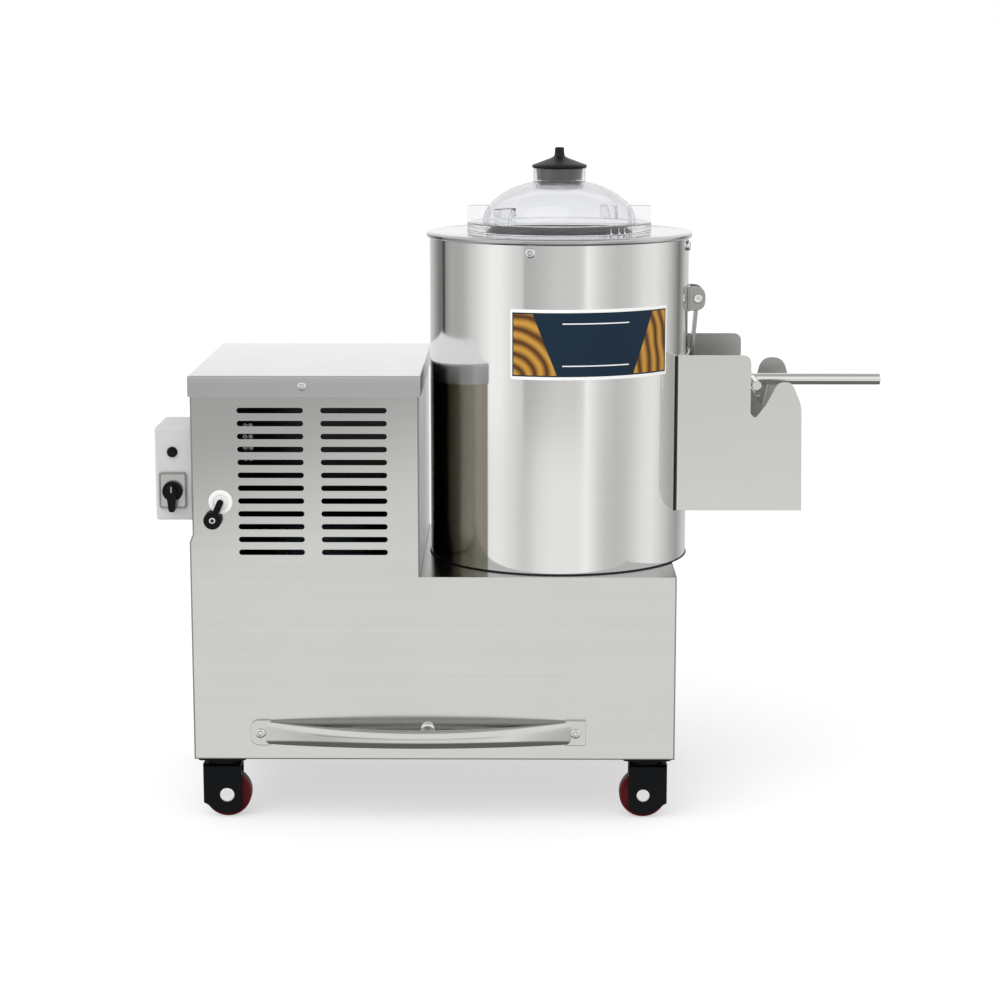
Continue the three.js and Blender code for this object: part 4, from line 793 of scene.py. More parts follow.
# painted shade: a darker copy of the sheet steel, for the dark lines along the folded edges
FOLD_SHADE_STEEL = Steel("fold_shade_steel", "brushed_steel", (0.3, 0.305, 0.295), 0.2, marks=0.03, relief=0.03)
# painted shade: the cover's skirt is darker than its top; painted sheen where it is seen at a slant; its
# faint blue tint is painted reflection of the sky
COVER_SHEET = Steel(
    "cover_sheet", "brushed_steel", (0.645, 0.645, 0.657), 0.2, marks=0.03, relief=0.03,
    painted_shade_from=0.5622, painted_shade_to=0.5636, painted_shade_start=0.72, painted_shade_end=1.0,
    painted_sheen=0.95, painted_sheen_range=(0.88, 0.94),
)
# painted shade: the rear panel's inner face is nearly black, for the dark inside of the cabinet
REAR_SHEET = Steel(
    "rear_sheet", "brushed_steel", (0.62, 0.63, 0.61), 0.22,
    painted_shade_along=(0.0, 1.0, 0.0), painted_shade_from=0.1812, painted_shade_to=0.1822, painted_shade_start=0.08, painted_shade_end=1.0,
)
SIDE_SHEET = Steel("side_sheet", "brushed_steel", (0.6, 0.61, 0.6), 0.25, grain=Grain.ALONG_Y)
# painted shade: a darker copy of the sheet steel for the deck
DECK_SHADE_SHEET = Steel("deck_shade_sheet", "brushed_steel", (0.35, 0.355, 0.34), 0.2)
# painted shade: a dark brownish copy of the sheet steel, darker still towards the rear, for the narrow gap
# beside the drum; painted sheen at a slant
PAINTED_SHADE_WALL = Steel(
    "painted_shade_and_sheen_wall", "brushed_steel", (0.38, 0.355, 0.29), 0.16, grain=Grain.ALONG_Y,
    painted_shade_along=(0.0, 1.0, 0.0), painted_shade_from=-0.16, painted_shade_to=0.0, painted_shade_start=1.0, painted_shade_end=0.45, painted_sheen=0.95,
)
CHUTE_SHEET = Steel(
    "chute_sheet", "brushed_steel", (0.665, 0.67, 0.65), 0.2, marks=0.012, relief=0.012, blotch=0.08
)
# painted shade: a darker copy of the chute steel, for the rear cheek and the floor inside the chute
CHUTE_SHADE_STEEL = Steel("chute_shade_steel", "brushed_steel", (0.5, 0.505, 0.485), 0.28, blotch=0.3, relief=0.02)
DRUM_STEEL = Steel(
    "drum_steel", "polished_steel", (0.76, 0.765, 0.755), 0.075,
    grain=Grain.AROUND_Z, marks=0.02, relief=0.012,
)
HANDLE_STEEL = Steel("handle_steel", "polished_steel", (0.6, 0.605, 0.585), 0.1, marks=0.02, relief=0.01)
HINGE_STEEL = Steel(
    "hinge_steel", "polished_steel", (0.4, 0.4, 0.385), 0.22, marks=0.04, relief=0.02, blotch=0.2
)
BRIGHT_STEEL = Steel("bright_steel", "polished_steel", (0.72, 0.725, 0.705), 0.14, marks=0.03, relief=0.02)
# painted shade: the top ring darkens towards the front
RING_STEEL = Steel(
    "ring_steel", "polished_steel", (0.62, 0.625, 0.62), 0.1,
    grain=Grain.AROUND_Z, marks=0.03, relief=0.012,
    painted_shade_along=(0.35, 1.0, 0.0), painted_shade_from=-0.155, painted_shade_to=-0.02, painted_shade_start=0.72, painted_shade_end=0.9,
)
TURNED_STEEL = Steel("turned_steel", "machined_steel", (0.55, 0.56, 0.55), 0.3, grain=Grain.AROUND_Z)
SCREW_STEEL = Steel("screw_steel", "machined_steel", (0.74, 0.745, 0.74), 0.2, marks=0.03, relief=0.03)
SWITCH_STEEL = Steel("switch_steel", "machined_steel", (0.5, 0.5, 0.495), 0.25, marks=0.03, relief=0.03)
BOLT_STEEL = Steel("bolt_steel", "machined_steel", (0.86, 0.86, 0.85), 0.4, marks=0.04)
CAST = Moulding("cast_iron", "cast_iron", (0.1, 0.105, 0.11), 0.6, pit_scale=900.0, pit_depth=0.4)
BLACK_PLASTIC = Moulding(
    "black_plastic", "black_plastic", (0.003, 0.003, 0.0034), 0.3, pit_depth=0.06, tint=0.3, specular=0.12
)
BLACK_ENAMEL = Moulding(
    "black_enamel", "black_paint", (0.004, 0.005, 0.006), 0.4, pit_depth=0.12, tint=0.25, specular=0.07
)
GREY_PLASTIC = Moulding("grey_plastic", "grey_plastic", (0.56, 0.56, 0.56), 0.45, tint=0.02, pit_depth=0.06)
DARK_FRAME = Moulding("dark_frame", "black_plastic", (0.24, 0.24, 0.23), 0.4, tint=0.1)
KNOB_MARK = Moulding("knob_mark", "grey_plastic", (0.3, 0.3, 0.3), 0.4, tint=0.1)
WHITE_PLASTIC = Moulding("white_plastic", "white_plastic", (0.84, 0.84, 0.83), 0.3, coat=0.3, tint=0.02)
RED_WHEEL = Moulding(
    "red_wheel", "red_polyurethane", (0.075, 0.007, 0.009), 0.4, tint=0.3, specular=0.1
)
RUBBER = Moulding(
    "black_rubber", "black_rubber", (0.004, 0.004, 0.0046), 0.42, pit_depth=0.15, tint=0.3, specular=0.28
)
MOTOR_ENAMEL = Moulding("motor_enamel", "motor_paint", (0.04, 0.055, 0.07), 0.45, pit_scale=1200.0)
ABRASIVE = Grit("abrasive", "abrasive", (0.14, 0.135, 0.13), 0.9)
CLEAR = Clear("clear_lid", "clear_plastic", (0.95, 0.955, 0.975), 0.03)
LABEL = LabelPrint("label_print", "white_plastic", (0.86, 0.86, 0.85), 0.35)


# Pieces


def add_piece(
    name: str, shells: Sequence[Shell], body: str, finish: Finish, nodes: Sequence[str] = (),
    sharp: float = 34.0,
) -> bpy.types.Object:
    """Make one object of closed surfaces, give it its finish and let it ride on a body.

    Each surface is merged where its points meet and turned to face outwards by the sign of
    its volume before it joins the others.

    Args:
        name: the piece's name.
        shells: its closed surfaces.
        body: the body that it moves with.
        finish: its finish.
        nodes: solids that it stands for.
        sharp: angle in degrees above which an edge stays sharp.

    Returns:
        The object.
    """
    whole = bmesh.new()
    for shell in shells:
        part = bpy.data.meshes.new("part")
        part.from_pydata(to_row(shell.points).tolist(), [], shell.faces)
        flat = np.resize(np.array(shell.flat or [False]), len(shell.faces))
        part.polygons.foreach_set("use_smooth", ~flat)
        work = bmesh.new()
        work.from_mesh(part)
        bmesh.ops.remove_doubles(work, verts=work.verts, dist=WELD)
        bmesh.ops.dissolve_degenerate(work, dist=SHORTEST_EDGE, edges=work.edges)
        if work.calc_volume(signed=True) < 0:
            bmesh.ops.reverse_faces(work, faces=work.faces)
        work.to_mesh(part)
        work.free()
        whole.from_mesh(part)
        bpy.data.meshes.remove(part)
    mesh = bpy.data.meshes.new(name)
    whole.to_mesh(mesh)
    whole.free()
    smooth = np.zeros(len(mesh.polygons), bool)
    mesh.polygons.foreach_get("use_smooth", smooth)
    mesh.set_sharp_from_angle(angle=math.radians(sharp))
    mesh.polygons.foreach_set("use_smooth", smooth)
    return adopt(name, mesh, body, finish, nodes)


def add_turned(
    name: str, profile: Profile, centre: Sequence[float], body: str, finish: Finish,
    nodes: Sequence[str] = (), direction: Axis = Axis.Y, steps: int = 48, sharp: float = 34.0,
) -> None:
    """Make a piece of one turned surface; see `revolve` and `add_piece` for the arguments."""
    add_piece(name, [revolve(profile, centre, direction.value, steps)], body, finish, nodes, sharp)


def adopt(
    name: str, mesh: bpy.types.Mesh, body: str, finish: Finish, nodes: Sequence[str] = ()
) -> bpy.types.Object:
    """Put a mesh into the scene as a piece of the object; see `add_piece` for the arguments."""
    piece = link(name, mesh)
    mesh.materials.append(finish.material())
    if nodes:
        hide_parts(*nodes)
    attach(piece, body)
    LOG.info("%s rides on %s, %d faces", name, body, len(mesh.polygons))
    return piece


def dress(finish: Finish, *nodes: str) -> None:
    """Give solids that keep their own shape a finish.

    Args:
        finish: the finish.
        *nodes: names of the solids.
    """
    for name in nodes:
        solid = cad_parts[name]
        if not solid.material_slots:
            solid.data.materials.append(finish.material())
        for slot in solid.material_slots:
            slot.material = finish.material()
        LOG.info("%s keeps its shape, finish %s", name, finish.name)


def screw(centre: Sequence[float], direction: Sequence[float], radius: float, height: float) -> Shell:
    """A round screw head with a dished socket, turned from its half profile.

    Args:
        centre: middle of the face that it sits on.
        direction: the way that its head looks.
        radius: radius of the head.
        height: height of the head.

    Returns:
        The closed surface.
    """
    socket, floor = radius * 0.42, height * 0.35
    shoulder = arc((radius * 0.62, height * 0.6), radius * 0.38, 90, 0, 6)
    profile = [
        (0.0, floor), (socket * 0.8, floor), (socket, height * 0.95), *shoulder, (radius, 0.0), (0.0, 0.0),
    ]
    return revolve(profile, centre, direction, 32)


@dataclass
class Cabinet:
    """Base, tower and cover of stainless sheet, and the grab handle on the front."""

    width: float = 600.0
    underside: float = 81.0
    deck: float = 314.0
    tower_left: float = 4.0
    tower_right: float = 283.0
    tower_top: float = 562.0
    shoulder: float = 357.0
    shoulder_rise: float = 10.0
    sheet: float = 1.5
    sheet_rim: float = 0.25
    hem: float = 1.8
    hem_bore: float = 0.4
    louvre_columns: Pair = (101.5, 203.5)
    louvre_size: Pair = (81.0, 6.6)
    louvre_top: float = 521.0
    louvre_pitch: float = 16.0
    louvre_rows: int = 12
    lock_hole: Triple = (*LOCK_AXIS, 8.8)
    cover_low: Triple = (1.5, -2.5, 538.3)
    cover_high: Triple = (285.5, 352.5, 563.8)
    cover_fold: float = 2.2
    cover_round: float = 0.4
    handle_middle: float = 280.0
    handle_height: float = 116.5
    handle_half_span: float = 209.0
    bow: float = 34.0
    grip_size: Pair = (14.0, 23.0)
    root_height: float = 29.0
    foot_width: float = 26.0
    foot_height: float = 32.0
    foot_thickness: float = 5.0
    foot_rim: float = 0.8
    # rounds of the left foot's and the right foot's outer corners
    foot_rounds: Pair = (13.0, 2.0)
    foot_inner_round: float = 2.0
    # screws: (x, z) of the place, and (radius, height) of the head
    cover_screw: Pair = (141.4, 551.3)
    cover_head: Pair = (5.6, 2.2)
    middle_screw: Pair = (292.0, 120.4)
    middle_head: Pair = (9.2, 4.0)
    foot_head: Pair = (6.2, 1.6)

    def build(self) -> None:
        """Build and dress the cabinet's pieces."""
        self.build_front()
        self.build_cover()
        self.build_handle()
        dress(SIDE_SHEET, "left_panel", "right_panel")
        # the rear panel's inner face is painted shade, nearly black
        dress(REAR_SHEET, "rear_panel")
        dress(SHEET, "base_pan")
        # the deck gets a darker copy of the sheet steel: painted shade
        dress(DECK_SHADE_SHEET, "deck_panel")
        # the tower's inner wall holds painted shade, with a painted sheen at a slant
        dress(PAINTED_SHADE_WALL, "tower_inner_panel")

    def louvres(self) -> list[Array]:
        """Outlines of the slots: an oblong with half-round ends at each place of the pattern."""
        length, height = self.louvre_size
        radius = height / 2
        right = np.array(arc((length / 2 - radius, 0.0), radius, -90, 90, 10))
        ends = np.vstack([right, -right])
        rows = self.louvre_top - self.louvre_pitch * np.arange(self.louvre_rows)
        return [ends + (middle, row) for row in rows for middle in self.louvre_columns]

    def build_front(self) -> None:
        """The front sheet: the L of base and tower, with louvre slots, the lock's hole and folds."""
        fold, foot, width, deck = self.hem, self.underside + self.hem, self.width, self.deck
        left, right, top = self.tower_left, self.tower_right, self.tower_top
        step = self.shoulder + self.shoulder_rise
        outline = np.array([
            (fold, foot), (width - fold, foot), (width - fold, deck), (right - fold, deck),
            (right - fold, top), (left + fold, top), (left + fold, step), (fold, self.shoulder),
        ])
        holes = [*self.louvres(), circle(*self.lock_hole)]
        sheet = plate([outline, *holes], 0, self.sheet, edge=self.sheet_rim)
        hem = prism(self.fold_ring(foot), 0.0, width)
        # the front sheet's finish holds painted shade, darker up the tower and towards its left
        add_piece("front_sheet", [sheet, hem], "cabinet", FRONT_SHEET, ["front_panel"])
        folds = [
            self.folded_edge([(0.0, foot), (0.0, self.shoulder), (left, step), (left, top)], 1),
            self.folded_edge([(width, foot), (width, deck)], -1),
            self.folded_edge([(right, deck), (right, top)], -1),
        ]
        # the folds get a darker copy of the steel: painted shade along the sheet's edges
        add_piece("front_folds", folds, "cabinet", FOLD_SHADE_STEEL)

    def fold_ring(self, middle: float) -> Array:
        """A quarter ring: (hem + r cos t, middle + r sin t) for the outer and the inner radius r."""
        outer, inner = (arc((self.hem, middle), r, 180, 270, 8) for r in (self.hem, self.hem_bore))
        return np.array([*outer, *inner[::-1]])

    def folded_edge(self, path: Sequence[Pair], inward: int) -> Shell:
        """An upright edge folded back: a quarter ring carried up a path.

        Args:
            path: (x, z) of the outer edge, from the foot up.
            inward: 1 where the sheet lies to the right of the edge, -1 where it lies to the left.

        Returns:
            The closed surface.
        """
        across, depth = self.fold_ring(self.hem).T
        rings = [at_depth(np.stack([x + inward * across, depth], -1), z, Axis.Z) for x, z in path]
        return grid(np.array(rings), caps=True)

    def build_cover(self) -> None:
        """The folded cover: rounded oblongs stacked up the skirt and drawn in over the fold."""
        low, high, fold, wall = self.cover_low, self.cover_high, self.cover_fold, self.sheet
        inner_fold = fold - wall / 2
        over = arc((fold, high[2] - fold), fold, 90, 180, 6)
        under = arc((wall + inner_fold, high[2] - wall - inner_fold), inner_fold, 180, 90, 6)
        rings = []
        for inset, height in [*over, (0.0, low[2]), (wall, low[2]), *under]:
            first, last = (low[0] + inset, low[1] + inset), (high[0] - inset, high[1] - inset)
            ring = oblong(first, last, max(fold - inset, self.cover_round), 5)
            rings.append(at_depth(ring, height, Axis.Z))
        cover = grid(np.array(rings), caps=True)
        # the cover's finish holds painted shade on the skirt and a painted sheen at a slant
        add_piece("folded_cover", [cover], "cabinet", COVER_SHEET, ["tower_cover"])
        x, z = self.cover_screw
        head = screw((x, low[1], z), FRONTWARD, *self.cover_head)
        add_piece("cover_screw", [head], "cabinet", SCREW_STEEL)

    def build_handle(self) -> None:
        """The bowed grip: ovals that stand off by a parabola, thin and tall at the feet."""
        share = np.linspace(-1, 1, 97)[:, None]
        bulge = 1 - share**2
        reach = self.handle_half_span - self.foot_width + self.foot_width / 3
        half_height = (self.root_height + (self.grip_size[1] - self.root_height) * bulge) / 2
        half_thick = (self.foot_thickness + (self.grip_size[0] - self.foot_thickness) * bulge) / 2
        root = CLEARANCE + self.foot_thickness / 2
        depth = root + (self.bow - root) * bulge
        turn = np.linspace(0, 2 * np.pi, 40, endpoint=False)[None]
        grip = np.stack(np.broadcast_arrays(
            self.handle_middle + share * reach,
            half_thick * np.cos(turn) - depth,
            self.handle_height + half_height * np.sin(turn),
        ), -1)
        low, high = self.handle_height - self.foot_height / 2, self.handle_height + self.foot_height / 2
        face = -CLEARANCE - self.foot_thickness
        shells, screws = [grid(grip, caps=True)], []
        blend = self.foot_inner_round
        for side, cut in zip((-1, 1), self.foot_rounds):
            outer = self.handle_middle + side * self.handle_half_span
            inner = outer - side * self.foot_width
            corners = [(outer, low, cut), (inner, low, blend), (inner, high, blend), (outer, high, cut)]
            shells.append(plate([rounded(corners)], face, -CLEARANCE, edge=self.foot_rim, rounds=3))
            centre = (outer - side * self.foot_width / 2, face, self.handle_height)
            screws.append(screw(centre, FRONTWARD, *self.foot_head))
        add_piece("grab_handle", shells, "cabinet", HANDLE_STEEL, ["front_handle"])
        x, z = self.middle_screw
        screws.append(screw((x, 0.0, z), FRONTWARD, *self.middle_head))
        add_piece("handle_screws", screws, "cabinet", SCREW_STEEL)


@dataclass
class Controls:
    """The control box with its rotary switch and button, and the lock on the front sheet."""

    box_low: Triple = (-43.0, 20.0, 381.5)
    box_high: Triple = (3.7, 112.0, 497.5)
    box_corner: float = 4.0
    box_rim: float = 3.0
    switch_x: float = -21.4
    switch_z: float = 418.6
    plate_size: Pair = (34.0, 45.0)
    plate_top: float = 23.0
    plate_back: float = 19.7
    plate_corner: float = 4.0
    corner_share: float = 0.6
    # (inset, rise) of the oblongs of the switch's face and of the rim round it
    face_steps: Profile = ((1.9, 0.2), (1.9, 2.0), (2.3, 2.4))
    rim_steps: Profile = ((2.1, 0.0), (2.1, 2.0), (1.6, 2.5), (0.5, 2.5), (0.0, 2.0), (0.0, 0.0))
    knob_radius: float = 12.5
    knob_round: float = 1.5
    knob_front: float = 10.9
    knob_back: float = 16.9
    spindle: Pair = (4.0, 56.5)
    grip_half: float = 6.5
    grip_depths: Pair = (1.9, 16.4)
    grip_tip_half: float = 3.75
    grip_reach: Pair = (-24.5, 9.0)
    grip_round: float = 3.5
    grip_waist_round: float = 4.5
    grip_rim: float = 1.3
    mark_half: float = 0.8
    mark_length: float = 7.6
    mark_depths: Pair = (1.7, 2.3)
    mark_round: float = 0.7
    mark_rim: float = 0.1
    button_z: float = 466.7
    # (radius, depth) of the turned profiles; the eyelet's depth is from its own face
    cap: Profile = (
        (0, 16.1), (2.4, 15.9), *arc((4.4, 16.3), 0.8, -90, 0, 5), (5.2, 22.5), (3.0, 22.5), (3.0, 38.5),
        (0, 38.5),
    )
    collar: Profile = ((5.4, 18.4), (5.6, 17.9), (6.1, 17.9), (6.5, 18.4), (6.5, 19.7), (5.4, 19.7))
    bezel: Profile = (
        (8.8, -3.2), (9.3, -3.3), (12.8, -3.3), *arc((13.0, -1.3), 2.0, -90, 0, 6), (15.0, -0.3),
        (8.8, -0.3),
    )
    plug: Profile = ((0, 15), (3.3, 15), (3.3, -3.3), (8.1, -3.3), (8.5, -2.9), (8.5, 30), (0, 30))
    shank: Profile = ((0, -8.0), (3.0, -8.0), (3.0, 5.7), (0, 5.7))
    eyelet: Profile = (
        (2.3, 0.2), (2.5, 0.0), (3.3, 0.0), (3.8, 0.3), (3.8, 0.6), (3.1, 0.6), (3.1, 4.6), (2.3, 4.6),
    )
    lock: Pair = LOCK_AXIS
    key_lean: float = 0.42
    key_drop: float = 24.0
    stem_half: float = 4.0
    stem_above_bow: float = 7.0
    stem_depths: Pair = (-10.3, -6.3)
    stem_rim: float = 0.8
    bow_radius: float = 11.0
    bow_hole: float = 3.2
    bow_depths: Pair = (-10.5, -6.1)
    bow_rim: float = 1.0
    eyelet_depth: float = -10.9

    def build(self) -> None:
        """Build and dress the controls."""
        box = soft_block(self.box_low, self.box_high, self.box_corner, self.box_rim)
        add_piece("control_housing", [box], "cabinet", GREY_PLASTIC, ["control_box"])
        self.build_switch()
        self.build_knob()
        centre = (self.switch_x, 0.0, self.button_z)
        add_turned("button_cap", self.cap, centre, "button", BLACK_PLASTIC, ["start_button"])
        add_turned("button_collar", self.collar, centre, "cabinet", BLACK_PLASTIC, ["button_bezel"])
        self.build_lock()
        dress(BLACK_PLASTIC, "cam_switch_body")

    def build_switch(self) -> None:
        """The switch's plate, and the raised rim round it."""
        face = self.stepped(self.face_steps)
        add_piece("switch_face", [face], "cabinet", SWITCH_STEEL, ["switch_plate"])
        rim = self.stepped(self.rim_steps, closed=True)
        add_piece("switch_rim", [rim], "cabinet", DARK_FRAME)

    def stepped(self, steps: Profile, closed: bool = False) -> Shell:
        """Rounded oblongs about the switch's axis, each drawn in by an inset and raised by a rise.

        Args:
            steps: (inset, rise) of each oblong.
            closed: joins the last oblong to the first, as a frame, instead of capping both.

        Returns:
            The closed surface.
        """
        width, height = self.plate_size
        left, top = self.switch_x - width / 2, self.switch_z + self.plate_top
        rings = []
        for inset, rise in steps:
            first, last = (left + inset, top - height + inset), (left + width - inset, top - inset)
            ring = oblong(first, last, self.plate_corner - inset * self.corner_share)
            rings.append(at_depth(ring, self.plate_back - rise, Axis.Y))
        return grid(np.array(rings), wrap_u=closed, caps=not closed)

    def build_knob(self) -> None:
        """The knob: a round base on its spindle and a pointer grip with an inlaid line."""
        x, z, radius, edge = self.switch_x, self.switch_z, self.knob_radius, self.knob_round
        low, high = z + self.grip_reach[0], z + self.grip_reach[1]
        front, back = self.knob_front, self.knob_back
        thin, end = self.spindle
        base = [
            (0, front), *arc((radius - edge, front + edge), edge, -90, 0, 5), (radius, back), (thin, back),
            (thin, end), (0, end),
        ]
        tip, half, cut, waist = self.grip_tip_half, self.grip_half, self.grip_round, self.grip_waist_round
        outline = rounded([
            (x - tip, low, cut), (x + tip, low, cut), (x + half, z, waist), (x + tip, high, cut),
            (x - tip, high, cut), (x - half, z, waist),
        ])
        turned = revolve(base, (x, 0.0, z), Axis.Y.value, 64)
        grip = plate([outline], *self.grip_depths, edge=self.grip_rim, rounds=3)
        add_piece("pointer_knob", [turned, grip], "knob", BLACK_PLASTIC, ["switch_knob"])
        line = oblong((x - self.mark_half, z), (x + self.mark_half, z + self.mark_length), self.mark_round)
        inlay = plate([line], *self.mark_depths, edge=self.mark_rim, rounds=1)
        add_piece("knob_inlay", [inlay], "knob", KNOB_MARK)

    def build_lock(self) -> None:
        """The white round lock and its black key: a round bow with a hole on a leaning stem."""
        (x, z), half, white = self.lock, self.stem_half, WHITE_PLASTIC
        centre, bow_z = (x, 0.0, z), z - self.key_drop
        add_turned("lock_ring", self.bezel, centre, "cabinet", white, ["key_switch_bezel"], steps=64)
        add_turned("lock_plug", self.plug, centre, "key", white, ["key_switch_barrel"])
        low, high = bow_z + self.stem_above_bow, z + half
        stem = rounded([(x - half, low), (x + half, low), (x + half, high, half), (x - half, high, half)])
        bow = [circle(x, bow_z, self.bow_radius), circle(x, bow_z, self.bow_hole, 24)]
        shells = [
            plate([stem], *self.stem_depths, edge=self.stem_rim, rounds=3),
            plate(bow, *self.bow_depths, edge=self.bow_rim, rounds=3),
            revolve(self.shank, centre, Axis.Y.value, 32),
        ]
        leaned = [turned_about(shell, centre, Axis.Y, self.key_lean) for shell in shells]
        add_piece("key", leaned, "key", BLACK_PLASTIC, ["lock_key"])
        eyelet = revolve(self.eyelet, (x, self.eyelet_depth, bow_z), Axis.Y.value, 32)
        leaned = turned_about(eyelet, centre, Axis.Y, self.key_lean)
        add_piece("key_eyelet", [leaned], "key", SCREW_STEEL)


@dataclass
class Drum:
    """The upright drum: shell and sleeve with the outlet window, top ring, label and screws."""

    centre: Pair = DRUM_AXIS
    radius: float = DRUM_RADIUS
    wall: float = 2.0
    low: float = 314.3
    high: float = 720.0
    window_half: float = 64.0
    window_low: float = 384.0
    window_high: float = 571.0
    sleeve_radius: float = 162.4
    sleeve_wall: float = 4.0
    sleeve_low: float = 386.0
    sleeve_high: float = 699.0
    # (radius, height above the shell's lower edge) of the black bead round the foot, painted shade for the
    # dark line where the drum meets the deck
    bead: Profile = ((165.2, -0.2), (166.3, -0.2), *arc((165.4, 0.4), 0.9, 0, 90, 4), (165.2, 1.2))
    ring_radius: float = 169.0
    ring_top: float = 728.0
    ring_height: float = 7.7
    ring_round: float = 3.0
    ring_sheet: float = 2.0
    flange_low: float = 706.0
    opening: float = 99.5
    label_angles: Pair = (-21.8, 52.8)
    label_low: float = 557.0
    label_high: float = 643.0
    label_faces: Pair = (0.1, 0.5)
    label_round: float = 0.2
    screw_angles: tuple[float, ...] = (-13.0, 77.0, 167.0, -103.0)
    screw_height: float = 711.5
    screw_head: Pair = (6.4, 2.8)

    def build(self) -> None:
        """Build and dress the drum."""
        shell = self.windowed("drum_wall", self.radius, self.low, self.high, DRUM_STEEL, "drum_shell")
        self.thicken(shell, self.wall)
        sleeve = self.windowed(
            "abrasive_sleeve", self.sleeve_radius, self.sleeve_low, self.sleeve_high, ABRASIVE,
            "abrasive_liner",
        )
        self.thicken(sleeve, self.sleeve_wall)
        self.build_ring()
        self.build_label()
        self.build_screws()
        # painted shade: a thin black ring where the drum meets the deck
        foot = (*self.centre, self.low)
        add_turned("drum_foot_shade", self.bead, foot, "cabinet", RUBBER, direction=Axis.Z, steps=128)
        dress(SHEET, "drum_floor")

    def windowed(
        self, name: str, radius: float, low: float, high: float, finish: Finish, node: str
    ) -> bpy.types.Object:
        """A cylinder with the outlet window left out: point (a, z) = axis + radius (cos a, sin a), z.

        Args:
            name: the piece's name.
            radius: outer radius.
            low: lower edge.
            high: upper edge.
            finish: its finish.
            node: the solid that it stands for.

        Returns:
            The object, facing outwards and still without a wall.
        """
        half = math.asin(self.window_half / radius)
        bottom = max(self.window_low, low)
        turn = np.concatenate([
            np.linspace(-half, half, 17)[:-1], np.linspace(half, 2 * np.pi - half, 161)[:-1]
        ])
        levels = np.unique(np.concatenate([
            np.linspace(low, bottom, 4)[:-1], np.linspace(bottom, self.window_high, 9)[:-1],
            np.linspace(self.window_high, high, 6),
        ]))
        surface = grid(upright(self.centre, radius, turn, levels[:, None]))
        quads = np.array(surface.faces)
        x, y, z = (surface.points[quads].mean(1) - (*self.centre, 0.0)).T
        inside = (x > 0) & (np.abs(y) < self.window_half) & (z > self.window_low) & (z < self.window_high)
        mesh = bpy.data.meshes.new(name)
        mesh.from_pydata(to_row(surface.points).tolist(), [], quads[~inside][:, ::-1].tolist())
        mesh.polygons.foreach_set("use_smooth", np.ones(len(mesh.polygons), bool))
        return adopt(name, mesh, "cabinet", finish, [node])

    @staticmethod
    def thicken(piece: bpy.types.Object, wall: float) -> None:
        """Give a sheet its wall, inwards, and keep its rims sharp.

        Args:
            piece: the sheet.
            wall: the wall's thickness.
        """
        solid = piece.modifiers.new("wall", "SOLIDIFY")
        solid.thickness = wall * MM
        solid.offset = -1.0
        mesh = piece.data
        rims = np.bincount(corners_of(mesh, "edge_index"), minlength=len(mesh.edges)) == 1
        mesh.attributes.new("sharp_edge", "BOOLEAN", "EDGE").data.foreach_set("value", rims)

    def build_ring(self) -> None:
        """The rolled top ring: a flat annulus with a round bead and a flange inside the wall."""
        top, edge, inner, foot = self.ring_top, self.ring_round, self.sleeve_radius, self.flange_low
        low, bead, under = top - self.ring_height, self.ring_radius - edge, top - self.ring_sheet
        profile = [
            (self.opening, under), (inner - self.ring_sheet, under), (inner - self.ring_sheet, foot),
            (inner, foot), (inner, low), *arc((bead, low + edge), edge, -90, 0, 8),
            *arc((bead, top - edge), edge, 0, 90, 8), (self.opening, top),
        ]
        axis = (*self.centre, 0.0)
        # the ring's finish holds painted shade, darker towards the front
        add_turned("top_ring", profile, axis, "cabinet", RING_STEEL, ["drum_top_plate"], Axis.Z, 160)

    def build_label(self) -> None:
        """The label plate bent round the drum; its UV map runs with the angle and the height."""
        (start, end), low, high = self.label_angles, self.label_low, self.label_high
        inner, outer = (self.radius + face for face in self.label_faces)
        section = oblong((inner, low), (outer, high), self.label_round, 3, rooted=True)
        turn = np.radians(np.linspace(start, end, 49) + FRONT)[:, None]
        surface = grid(upright(self.centre, section[:, 0], turn, section[:, 1]), caps=True)
        mesh = add_piece("drum_label", [surface], "cabinet", LABEL).data
        x, y, z = (places_of(mesh) / MM - ORIGIN - (*self.centre, 0.0)).T
        angle = np.degrees(np.arctan2(x, -y))
        shares = np.stack([(angle - start) / (end - start), (z - low) / (high - low)], -1)
        layer = mesh.uv_layers.new(name="print")
        layer.data.foreach_set("uv", shares[corners_of(mesh, "vertex_index")].ravel())

    def build_screws(self) -> None:
        """The four screws that hold the ring, spaced round the drum's top."""
        heads = []
        for angle in np.radians(np.array(self.screw_angles) + FRONT):
            centre = upright(self.centre, self.radius, angle, self.screw_height)
            heads.append(screw(centre, (math.cos(angle), math.sin(angle), 0.0), *self.screw_head))
        add_piece("drum_screws", heads, "cabinet", SCREW_STEEL)


